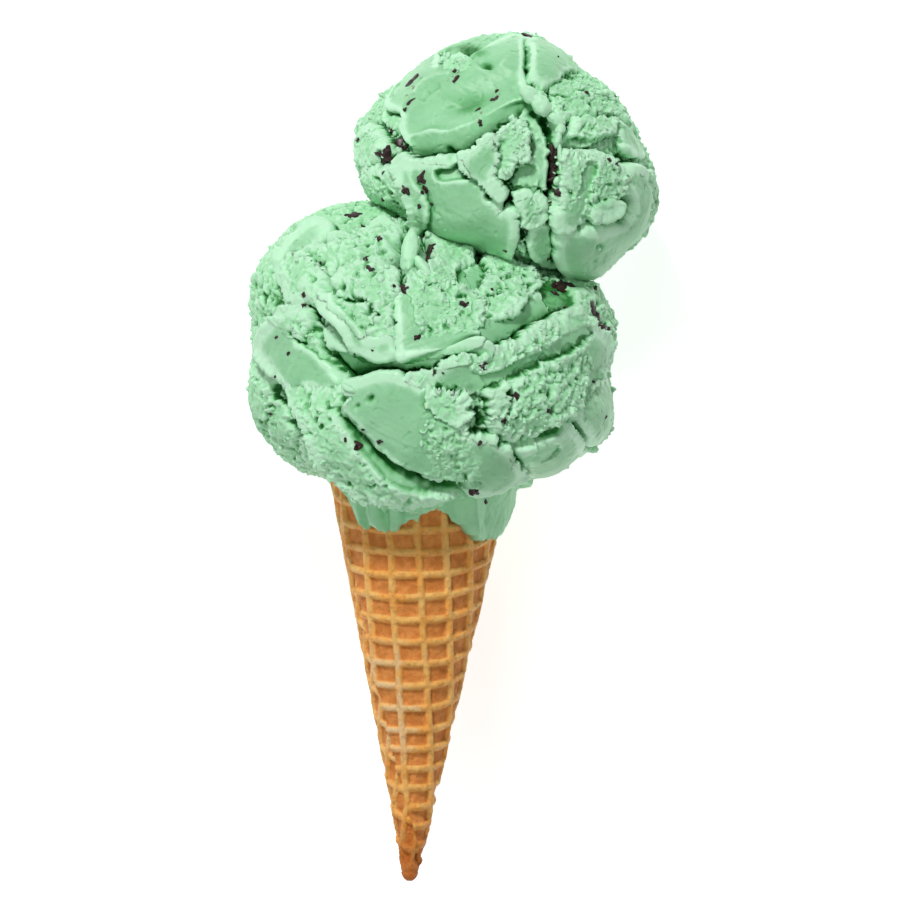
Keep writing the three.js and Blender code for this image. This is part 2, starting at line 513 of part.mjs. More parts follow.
      ragged: 0.5, smooth: 0.2 },
    { outline: [[-22.8, -10], [-12.7, -19.5], [-3.4, -24.4], [11.4, -26.2], [4.6, -27.9], [-5.5, -27],
      [-16.1, -19.2]], rise: -0.6, lean: [-118, 0.85], crown: -0.6, ragged: 0.02, smooth: 1 },
    { outline: [[-22.3, -3.4], [-10.6, -0.4], [-2.1, -4.4], [5.1, -5.4], [8.8, -9.1], [7.2, -12.9],
      [9, -15.4], [18.4, -18], [22.8, -25.4], [12, -29.4], [-3.4, -25.7], [-12.7, -20.4], [-22, -11.5],
      [-22.8, -9.8], [-20.1, -7]], rise: 3.2, lean: [-70, 0.05], crown: -0.5, ragged: 0.3, smooth: 0.95
      },
  ],
  floor: -1.9,
  folds: [
    { path: [[-12, 40.5], [-24.5, 37], [-34.5, 33], [-39.5, 26.5]], rise: 1.4, reach: 4, groove: 1.1 },
    { path: [[-12, 36.5], [-23, 34], [-33, 30], [-38.5, 21]], rise: 1.4, reach: 4, groove: 2 },
    { path: [[-19.5, 3.9], [-9, 2.2], [4.5, 6.5], [11.4, 8.5]], rise: 1, reach: 3, groove: 1 },
  ],
  grooves: [
    { path: [[-30.5, 13], [-27.5, 9], [-24.9, 3], [-21.8, -2.5]], depth: 3, width: 1.5 },
    { path: [[-9.6, 4.6], [-9.6, 15], [-12, 25]], depth: 3, width: 1.2 },
    { path: [[-40.5, 0], [-35.5, -9], [-30, -19]], depth: 3.2, width: 1.6 },
    { path: [[-1, 33], [-0.6, 29], [-1.4, 25]], depth: 3.2, width: 1.3 },
    { path: [[-21.9, -10.8], [-10.6, -22], [3.4, -28.4], [11.8, -29.6]], depth: 3.4, width: 1.6 },
    { path: [[13.5, -11], [17.5, -17.6], [25, -15.4], [36, -9.8]], depth: 2.4, width: 1.3 },
    { path: [[16.5, -4.5], [19, -7], [18.2, -10.5]], depth: 2.6, width: 1.2 },
    { path: [[-39.5, 20], [-38, 15], [-42, 10]], depth: 2.4, width: 1.5 },
  ],
  mounds: [
    { at: [9.5, -11], across: 3, along: 3, tilt: 0, rise: -1.5 },
    { at: [-6, 30.5], across: 1.8, along: 6, tilt: 8, rise: 2.4 },
    { at: [-44, -3], across: 3, along: 4, tilt: 0, rise: 1.2 },
    { at: [-40, -13], across: 4, along: 5, tilt: 30, rise: 1.4 },
    { at: [-33, -20], across: 4, along: 3.5, tilt: 0, rise: 1.6 },
    { at: [41, 20], across: 4, along: 5, tilt: 0, rise: 1.2 },
  ],
  flakes: [
    [42.2, 14.3, 9.9, 3, -67], [-0.3, 30.2, 5.7, 2.3, 90], [34.6, 21.5, 5.2, 4.4, 0],
    [-20.3, 40.4, 3.6, 3.6, 0], [-19, -19, 3.1, 3.1, 20], [-7.3, 21.1, 3.1, 2.1, 20],
    [10.9, -31.2, 3.2, 2.6, -45], [-15.9, 26, 2.4, 2.1, 0], [-13.5, 34.3, 2.6, 1.6, -20],
    [8.3, 17.4, 2.6, 1.8, -15], [13.3, 1.3, 2.3, 1.8, 15], [21.6, -6.5, 2.4, 2.1, 0],
    [18.7, -12.5, 2.3, 2.1, 60], [-32.8, 19.8, 2, 1.6, 90], [-3.6, 8.3, 2.3, 1.5, 10],
  ],
};

// The outline's distance from the centre at each whole degree, from a smooth curve through its points
function outlineTable(scoop) {
  const points = scoop.outline.map(([x, y]) => new THREE.Vector3(x, y, 0));
  const curve = new THREE.CatmullRomCurve3(points, true, 'centripetal');
  const spots = curve.getPoints(720).map((p) => ({
    degree: (THREE.MathUtils.radToDeg(Math.atan2(p.y, p.x)) + 360) % 360,
    radius: Math.hypot(p.x, p.y),
  }));
  spots.sort((a, b) => a.degree - b.degree);
  const table = [];
  let k = 0;
  for (let degree = 0; degree <= 360; degree += 1) {
    while (k + 1 < spots.length && spots[k].degree < degree) k += 1;
    table.push(spots[k].radius);
  }
  return table;
}

function outlineRadius(scoop, turn) {
  const degree = (THREE.MathUtils.radToDeg(turn) + 720) % 360;
  const low = Math.floor(degree);
  return THREE.MathUtils.lerp(scoop.table[low], scoop.table[low + 1], degree - low);
}

// The section's squareness: 2 is an ellipse, more is fuller towards the foot
function squareness(scoop, turn) {
  return 2 + scoop.squareFoot * Math.max(0, Math.cos(turn - scoop.footTurn)) ** 2;
}

// The smooth body in a direction from the scoop's centre
function bodyPoint(scoop, direction) {
  const turn = Math.atan2(direction.y, direction.x);
  const across = Math.hypot(direction.x, direction.y) / outlineRadius(scoop, turn);
  const depth = Math.abs(direction.z) / (direction.z > 0 ? scoop.front : scoop.back);
  const power = squareness(scoop, turn);
  const scale = (across ** power + depth ** power) ** (-1 / power);
  return direction.clone().multiplyScalar(scale);
}

// The point of the smooth body that is seen at x, y from the front, or from behind
function surfacePoint(scoop, x, y, side = 1) {
  const turn = Math.atan2(y, x);
  const share = Math.min(0.985, Math.hypot(x, y) / outlineRadius(scoop, turn));
  const power = squareness(scoop, turn);
  const depth = side > 0 ? scoop.front : scoop.back;
  return new THREE.Vector3(x, y, side * depth * (1 - share ** power) ** (1 / power));
}

// A path drawn on the body, as short straight steps
function liftPath(scoop, path, side) {
  const curve = new THREE.CatmullRomCurve3(path.map(([x, y]) => surfacePoint(scoop, x, y, side)));
  return curve.getPoints(4 * path.length);
}

// The nearest place on a path: distance, which side, and how far the path's ends are
function nearest(line, point) {
  let best = { distance: Infinity };
  const away = new THREE.Vector3();
  const step = new THREE.Vector3();
  const outward = point.clone().normalize();
  for (let i = 0; i + 1 < line.length; i += 1) {
    step.subVectors(line[i + 1], line[i]);
    away.subVectors(point, line[i]);
    const t = THREE.MathUtils.clamp(away.dot(step) / step.lengthSq(), 0, 1);
    const distance = away.addScaledVector(step, -t).length();
    if (distance < best.distance) {
      const side = Math.sign(outward.clone().cross(step).dot(away)) || 1;
      best = { distance, side, share: (i + t) / (line.length - 1) };
    }
  }
  return best;
}

// The ends of a fold or groove run out smoothly
function endFade(share) {
  return smoothstep(share / END_FADE) * smoothstep((1 - share) / END_FADE);
}

function foldHeight(fold, point) {
  const near = nearest(fold.line, point);
  const fade = endFade(near.share);
  if (near.side > 0) return fade * fold.rise * (1 - smoothstep(near.distance / fold.reach));
  return -fade * fold.groove * Math.exp(-((near.distance / FOLD_FOOT) ** 2));
}

function grooveHeight(groove, point) {
  const near = nearest(groove.line, point);
  return -endFade(near.share) * groove.depth * Math.exp(-((near.distance / groove.width) ** 2));
}

// A rounded lump, or a hollow where its rise is negative
function moundHeight(mound, point) {
  const away = point.clone().sub(mound.place);
  const tilt = THREE.MathUtils.degToRad(mound.tilt);
  const u = (away.x * Math.cos(tilt) + away.y * Math.sin(tilt)) / mound.across;
  const v = (away.y * Math.cos(tilt) - away.x * Math.sin(tilt)) / mound.along;
  const w = away.z / Math.max(mound.across, mound.along);
  return mound.rise * Math.exp(-(u * u + v * v + w * w));
}

// Crags: broad and narrow lumps with sharp creases between them
function cragHeight(point, rough) {
  const wide = point.clone().divideScalar(BROAD_CRAG);
  const close = point.clone().divideScalar(NARROW_CRAG);
  const broad = Math.abs(noise.noise(wide.x, wide.y, wide.z));
  const narrow = Math.abs(noise.noise(close.x + 7, close.y, close.z));
  return (0.8 + 0.6 * rough) * (broad - 0.3) + 1.3 * rough * (narrow - 0.3);
}

// An uneven closed outline round a place
function ringOutline(place, size, corners, random) {
  const ring = [];
  for (let i = 0; i < corners; i += 1) {
    const turn = ((i + 0.7 * random()) / corners) * 2 * Math.PI;
    const reach = size * (0.6 + 0.7 * random());
    ring.push([place[0] + 1.2 * reach * Math.cos(turn), place[1] + reach * Math.sin(turn)]);
  }
  return ring;
}

// Folds, mounds and plates for the back, where nothing is seen, drawn by a seeded rule
function backRelief(scoop, random) {
  const folds = [];
  const mounds = [];
  const plates = [];
  for (let i = 0; i < BACK_FOLDS; i += 1) {
    const turn = (i / BACK_FOLDS) * 2 * Math.PI + random();
    const radius = outlineRadius(scoop, turn) * (0.35 + 0.45 * random());
    const start = [radius * Math.cos(turn), radius * Math.sin(turn)];
    const heading = turn + Math.PI / 2 + random() - 0.5;
    const path = [0, 8, 16].map((length) => [
      start[0] + length * Math.cos(heading + length / 30),
      start[1] + length * Math.sin(heading + length / 30),
    ]);
    folds.push({ path, side: -1, rise: 1.6, reach: 8, groove: 1.6 });
    const lump = [0.7 * radius * Math.cos(turn + 0.5), 0.7 * radius * Math.sin(turn + 0.5)];
    mounds.push({ at: lump, side: -1, across: 5, along: 7, tilt: 90 * random(), rise: 2 * random() - 0.6 });
  }
  for (let i = 0; i < BACK_PLATES; i += 1) {
    const turn = (i / BACK_PLATES) * 2 * Math.PI + 0.5 * random();
    const radius = outlineRadius(scoop, turn) * (0.45 + 0.3 * random());
    const place = [radius * Math.cos(turn), radius * Math.sin(turn)];
    plates.push({
      outline: ringOutline(place, 9 + 5 * random(), 8, random),
      rise: 0.6 + 2 * random(),
      lean: [360 * random(), 0.08],
      crown: 0.4 * random(),
      ragged: 0.3 + 0.6 * random(),
      smooth: random() > 0.5 ? 0.9 : 0,
      side: -1,
    });
  }
  return { folds, mounds, plates };
}

function prepare(scoop, seed) {
  scoop.table = outlineTable(scoop);
  const behind = backRelief(scoop, makeRandom(seed));
  scoop.folds = [...scoop.folds, ...behind.folds];
  scoop.mounds = [...scoop.mounds, ...behind.mounds];
  scoop.plates = [...scoop.plates, ...behind.plates];
  for (const fold of [...scoop.folds, ...scoop.grooves]) {
    fold.line = liftPath(scoop, fold.path, fold.side ?? 1);
  }
  for (const mound of scoop.mounds) {
    mound.place = surfacePoint(scoop, mound.at[0], mound.at[1], mound.side ?? 1);
  }
}

// How high a plate's top lies over the smooth body at a point
function plateTop(plate, point) {
  const xs = plate.outline.map(([x]) => x);
  const ys = plate.outline.map(([, y]) => y);
  const ends = [xs, ys].map((list) => [Math.min(...list), Math.max(...list)]);
  const half = (ends[0][1] - ends[0][0] + ends[1][1] - ends[1][0]) / 4;
  const away = [point.x - (ends[0][0] + ends[0][1]) / 2, point.y - (ends[1][0] + ends[1][1]) / 2];
  const turn = THREE.MathUtils.degToRad(plate.lean[0]);
  const along = away[0] * Math.cos(turn) + away[1] * Math.sin(turn);
  const dome = 1 - Math.min(1.5, (away[0] ** 2 + away[1] ** 2) / half ** 2);
  return plate.rise + plate.lean[1] * along + plate.crown * dome;
}

// The surface in a direction: the smooth body with its relief, flat where it rests
function scoopPoint(scoop, direction, grow, plate) {
  const body = bodyPoint(scoop, direction);
  const rough = plate ? 1 - plate.smooth : 1;
  const facing = smoothstep(Math.abs(body.z) / SIDE_FADE);
  let height = facing * (plate ? plateTop(plate, body) : scoop.floor);
  height += cragHeight(body, rough);
  for (const fold of scoop.folds) height += foldHeight(fold, body);
  for (const groove of scoop.grooves) height += grooveHeight(groove, body);
  for (const mound of scoop.mounds) height += moundHeight(mound, body);
  height *= smoothstep((body.z + scoop.centre[2]) / LIFT_FADE);
  const point = body.addScaledVector(direction, height + grow);
  point.add(new THREE.Vector3(...scoop.centre));
  point.z = Math.max(point.z, grow > 0 ? -grow : 0);
  return point;
}

// The whole scoop's surface as it would be if one plate covered it, or no plate
function scoopShell(scoop, detail, grow, plate) {
  const sphere = new THREE.IcosahedronGeometry(1, detail);
  sphere.deleteAttribute('normal');
  sphere.deleteAttribute('uv');
  const geometry = mergeVertices(sphere, 1e-4);
  const position = geometry.getAttribute('position');
  const direction = new THREE.Vector3();
  for (let i = 0; i < position.count; i += 1) {
    direction.fromBufferAttribute(position, i).normalize();
    const point = scoopPoint(scoop, direction, grow, plate);
    position.setXYZ(i, point.x, point.y, point.z);
  }
  return toSolid(geometry);
}

// A column with a plate's ragged outline, from the scoop's middle out to its own side
function plateColumn(scoop, plate) {
  const corners = plate.outline.map(([x, y]) => new THREE.Vector3(x, y, 0));
  const curve = new THREE.CatmullRomCurve3(corners, true, 'centripetal');
  const steps = Math.round(curve.getLength() / EDGE_STEP);
  const ring = curve.getSpacedPoints(steps).slice(0, steps).map((spot) => new THREE.Vector2(
    spot.x + EDGE_RAGGED * plate.ragged * noise.noise(spot.x / 3 + 5, spot.y / 3, 1),
    spot.y + EDGE_RAGGED * plate.ragged * noise.noise(spot.x / 3, spot.y / 3 + 5, 2),
  ));
  const column = new THREE.ExtrudeGeometry(new THREE.Shape(ring), { depth: COLUMN_REACH, bevelEnabled: false });
  column.deleteAttribute('normal');
  column.deleteAttribute('uv');
  const low = (plate.side ?? 1) > 0 ? 0 : -COLUMN_REACH;
  column.translate(scoop.centre[0], scoop.centre[1], scoop.centre[2] + low);
  return toSolid(mergeVertices(column, 1e-4));
}

// The scoop with its plates, each laid over what is below it
function scoopBody(scoop, detail) {
  let solid = scoopShell(scoop, detail, 0);
  for (const plate of scoop.plates) {
    const column = plateColumn(scoop, plate);
    const shell = scoopShell(scoop, PLATE_DETAIL, 0, plate);
    solid = solid.subtract(column.subtract(shell)).add(column.intersect(shell));
  }
  return solid;
}

// The collar: two torn sheets of ice cream that run down over the cone's rim, one over the other.
// Each has its thickness, where it swells (bearing in degrees, reach, rise) and how far it runs past
// the rim, at places round the cone in degrees.
const SHEETS = [
  { // the lobes at the left and the fan at the right
    thick: 2.3,
    swell: { bearing: -17, reach: 30, rise: 2.2 },
    drops: [
      [-66, 2], [-58, 4], [-48, 7], [-45, 11], [-40, 15.6], [-21, 16.9], [-14, 16.4], [-8, 14.3], [0, 14.2],
      [3, 11.5], [8, 9.5], [14, 10.3], [22, 13.6], [33, 16.6], [41, 18.2], [66, 18.4], [84, 15], [100, 8],
      [125, 11], [160, 15], [185, 9], [215, 12], [240, 8], [250, 1.5], [290, 1.5],
    ],
  },
  { // the short ragged layer over them
    thick: 5.6,
    swell: { bearing: 0, reach: 1, rise: 0 },
    drops: [
      [-54, 1], [-39, 2.4], [-33, 5.5], [-27, 9.5], [-18, 11.4], [1, 11.9], [12, 10.1], [25, 7.7], [34, 4],
      [60, 3], [90, 4], [130, 6], [170, 8], [210, 4], [250, 1.5], [296, 0.6],
    ],
  },
];
const COLLAR_STEPS = 40;
const COLLAR_RAGGED = 0.6;

function sheetDrop(sheet, turn) {
  const degrees = THREE.MathUtils.radToDeg(turn);
  const first = sheet.drops[0];
  const places = [...sheet.drops, [first[0] + 360, first[1]]];
  const at = THREE.MathUtils.euclideanModulo(degrees - first[0], 360) + first[0];
  const k = places.findIndex(([place]) => place > at);
  const [before, after] = [places[k - 1], places[k]];
  const drop = THREE.MathUtils.mapLinear(at, before[0], after[0], before[1], after[1]);
  return drop + COLLAR_RAGGED * noise.noise(4 * Math.cos(turn), 4 * Math.sin(turn), sheet.thick);
}

// How much thicker a sheet is where it swells
function sheetSwell({ swell }, turn) {
  const degrees = THREE.MathUtils.euclideanModulo(THREE.MathUtils.radToDeg(turn) + 180, 360) - 180;
  return swell.rise * THREE.MathUtils.smoothstep(1 - Math.abs(degrees - swell.bearing) / swell.reach, 0, 1);
}

function rimSheet(sheet) {
  const levels = [
    { above: 9, down: 0, out: -3, swells: 0 }, { above: 4, down: 0, out: sheet.thick, swells: 1 },
    { above: 0, down: 0.5, out: sheet.thick, swells: 1 },
    { above: 0, down: 0.95, out: 0.8 * sheet.thick, swells: 0.8 },
    { above: 0, down: 1, out: 0.3 * sheet.thick, swells: 0 }, { above: 0, down: 0.97, out: -WALL - 2, swells: 0 },
  ];
  const rings = levels.map(({ above, down, out, swells }) => {
    const ring = [];
    for (let i = 0; i < COLLAR_STEPS; i += 1) {
      const turn = (i / COLLAR_STEPS) * 2 * Math.PI;
      const along = RIM + above - down * sheetDrop(sheet, turn);
      ring.push(conePoint(along, turn, coneRadius(along) + out + swells * sheetSwell(sheet, turn)));
    }
    return ring;
  });
  rings.reverse();
  return toSolid(ringBody(conePoint(RIM - 4, 0, 0), rings, conePoint(RIM + 9, 0, 0)));
}

// The ice cream inside the cone's mouth
function plug() {
  const low = RIM - PLUG_DEPTH;
  const high = RIM + PLUG_TOP;
  const rings = [low, high].map((along) => plainRing(along, coneRadius(along) - WALL - GAP));
  return toSolid(ringBody(conePoint(low, 0, 0), rings, conePoint(high, 0, 0)));
}

// The last plate that covers a point
function plateAt(scoop, point, side) {
  const over = scoop.plates.filter((plate) => (plate.side ?? 1) === side && covers(plate.outline, point));
  return over[over.length - 1];
}

function covers(outline, point) {
  let within = false;
  outline.forEach(([x, y], i) => {
    const [nextX, nextY] = outline[(i + 1) % outline.length];
    const spans = (y > point.y) !== (nextY > point.y);
    if (spans && point.x < x + ((point.y - y) * (nextX - x)) / (nextY - y)) within = !within;
  });
  return within;
}

// A chocolate flake is a squashed, slightly uneven pebble sunk halfway into the surface
function flake(scoop, x, y, length, width, tilt, side, random) {
  const place = surfacePoint(scoop, x, y, side);
  const direction = place.clone().normalize();
  const outer = scoopPoint(scoop, direction, 0, plateAt(scoop, place, side));
  const pebble = new THREE.IcosahedronGeometry(1, 0);
  pebble.deleteAttribute('normal');
  pebble.deleteAttribute('uv');
  const geometry = mergeVertices(pebble, 1e-4);
  const position = geometry.getAttribute('position');
  for (let i = 0; i < position.count; i += 1) {
    const swell = 0.8 + 0.4 * random();
    position.setXYZ(
      i,
      position.getX(i) * swell * length * 0.55,
      position.getY(i) * swell * width * 0.6,
      position.getZ(i) * FLAKE_THICK,
    );
  }
  geometry.rotateZ(THREE.MathUtils.degToRad(tilt));
  const turnTo = new THREE.Quaternion().setFromUnitVectors(new THREE.Vector3(0, 0, 1), direction);
  geometry.applyQuaternion(turnTo);
  geometry.translate(outer.x, outer.y, outer.z);
  return toSolid(geometry);
}

// The flakes that show, then others on the back by the seeded rule, clear of the resting spot
function addFlakes(solid, scoop, seed) {
  const random = makeRandom(seed);
  let result = solid;
  for (const [x, y, length, width, tilt] of scoop.flakes) {
    result = result.add(flake(scoop, x, y, length, width, tilt, 1, random));
  }
  for (let i = 0; i < BACK_FLAKES; i += 1) {
    const turn = (i / BACK_FLAKES) * 2 * Math.PI + 0.4 * random();
    const radius = outlineRadius(scoop, turn) * (0.6 + 0.25 * random());
    const length = 3 + 2.5 * random();
    const tilt = 180 * random();
    const spot = [radius * Math.cos(turn), radius * Math.sin(turn)];
    const high = surfacePoint(scoop, ...spot, -1).z + scoop.centre[2] > FLAKE_CLEARANCE;
    const clear = high && spot[1] > scoop.clear[0] && spot[1] < scoop.clear[1];
    if (clear) result = result.add(flake(scoop, ...spot, length, length / 2, tilt, -1, random));
  }
  return result;
}

// What is left of a boolean cut can hold loose crumbs: only its largest body is kept
function largestBody(solid) {
  const bodies = solid.decompose();
  bodies.sort((a, b) => b.volume() - a.volume());
  return bodies[0];
}

// The room that the upper scoop takes up in the lower one, with the gap round it
function upperRoom() {
  let room = scoopShell(UPPER, UPPER_DETAIL, GAP);
  for (const plate of UPPER.plates) {
    const shell = scoopShell(UPPER, PLATE_DETAIL, GAP, plate);
    room = room.add(plateColumn(UPPER, plate).intersect(shell));
  }
  return room;
}

function makeScoops() {
  prepare(UPPER, SEED);
  prepare(LOWER, SEED + 7);
  const upper = addFlakes(scoopBody(UPPER, UPPER_DETAIL), UPPER, SEED + 2);
  let lower = scoopBody(LOWER, LOWER_DETAIL);
  for (const sheet of SHEETS) lower = lower.add(rimSheet(sheet));
  lower = addFlakes(lower, LOWER, SEED + 3);
  lower = lower.add(plug()).subtract(wallRoom());
  lower = lower.subtract(upperRoom());
  return { upper: largestBody(upper), lower: largestBody(lower) };
}

const MINT = new THREE.MeshStandardMaterial({ color: 0xa6e0b6, roughness: 0.55, metalness: 0 });
const WAFFLE = new THREE.MeshStandardMaterial({ color: 0xcf9248, roughness: 0.75, metalness: 0 });

function place(group, name, solid, material) {
  const mesh = new THREE.Mesh(toGeometry(solid), material);
  mesh.name = name;
  group.add(mesh);
}

const iceCreamCone = new THREE.Group();
const scoops = makeScoops();
place(iceCreamCone, 'waffle_cone', waffleCone(), WAFFLE);
place(iceCreamCone, 'scoop_lower', scoops.lower, MINT);
place(iceCreamCone, 'scoop_upper', scoops.upper, MINT);

export default iceCreamCone;
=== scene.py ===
"""Two scoops of mint ice cream with chocolate flakes on a rolled waffle cone, lying on its back.

Lengths are millimetres in the tables below and metres in Blender. +Y runs from the cone's tip to
the top scoop, and the shown side faces up, towards the camera.
"""

import math

import bpy
import numpy as np
from mathutils import Matrix, Vector
from mathutils.bvhtree import BVHTree


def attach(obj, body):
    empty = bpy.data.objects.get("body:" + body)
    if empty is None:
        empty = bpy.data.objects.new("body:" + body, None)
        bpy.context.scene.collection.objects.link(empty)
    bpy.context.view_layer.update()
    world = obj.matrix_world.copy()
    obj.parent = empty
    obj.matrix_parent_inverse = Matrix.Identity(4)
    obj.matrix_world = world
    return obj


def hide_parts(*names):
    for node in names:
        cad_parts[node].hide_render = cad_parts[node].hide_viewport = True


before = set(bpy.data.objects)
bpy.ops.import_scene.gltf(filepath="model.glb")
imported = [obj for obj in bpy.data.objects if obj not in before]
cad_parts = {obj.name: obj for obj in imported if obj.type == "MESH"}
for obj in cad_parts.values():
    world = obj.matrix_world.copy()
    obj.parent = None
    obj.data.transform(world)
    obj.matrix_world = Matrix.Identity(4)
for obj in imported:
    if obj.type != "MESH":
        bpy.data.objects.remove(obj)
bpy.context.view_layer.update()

MM = 0.001

# The camera's view: its middle, its width and how far away it is
VIEW_MIDDLE = (-1.3, 1.56)
VIEW_WIDTH = 234.0
LENS = 400.0
SENSOR = 36.0

# The stage: the floor in millimetres, and each light's place, size and power in metres and watts
FLOOR_WIDTH = 1800
LIGHT_AIM = (0, 0, 0.04)
LIGHTS = [
    ("key", (-0.4, 1.25, 1.4), 0.3, 24.5),
    ("fill", (-0.6, -0.85, 1.4), 0.7, 8.5),
    ("side_fill", (0.95, 0.05, 1.35), 0.9, 3.8),
]
SKY = 0.05
FLOOR_GLOW = 0.76

# Fineness. The scoops' points lie closer together on the shown side, by FRONT_BIAS.
SPHERE_LEVELS = 7
FRONT_BIAS = 0.35
CONE_STEP = 0.5
INSIDE_RINGS = 14
SHEET_STEPS = 400
SHEET_RINGS = 26
BLOB_LEVELS = 3
HOLLOW_ROUNDS = 64
SEED = 20

# Loose crumbs: how finely each kind is divided, how many there are and their sizes
LARGE_CRUMBS, SMALL_CRUMBS = ((300, 1900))
CRUMBS = [(1, LARGE_CRUMBS, 0.35, 0.9), (0, SMALL_CRUMBS, 0.18, 0.42)]

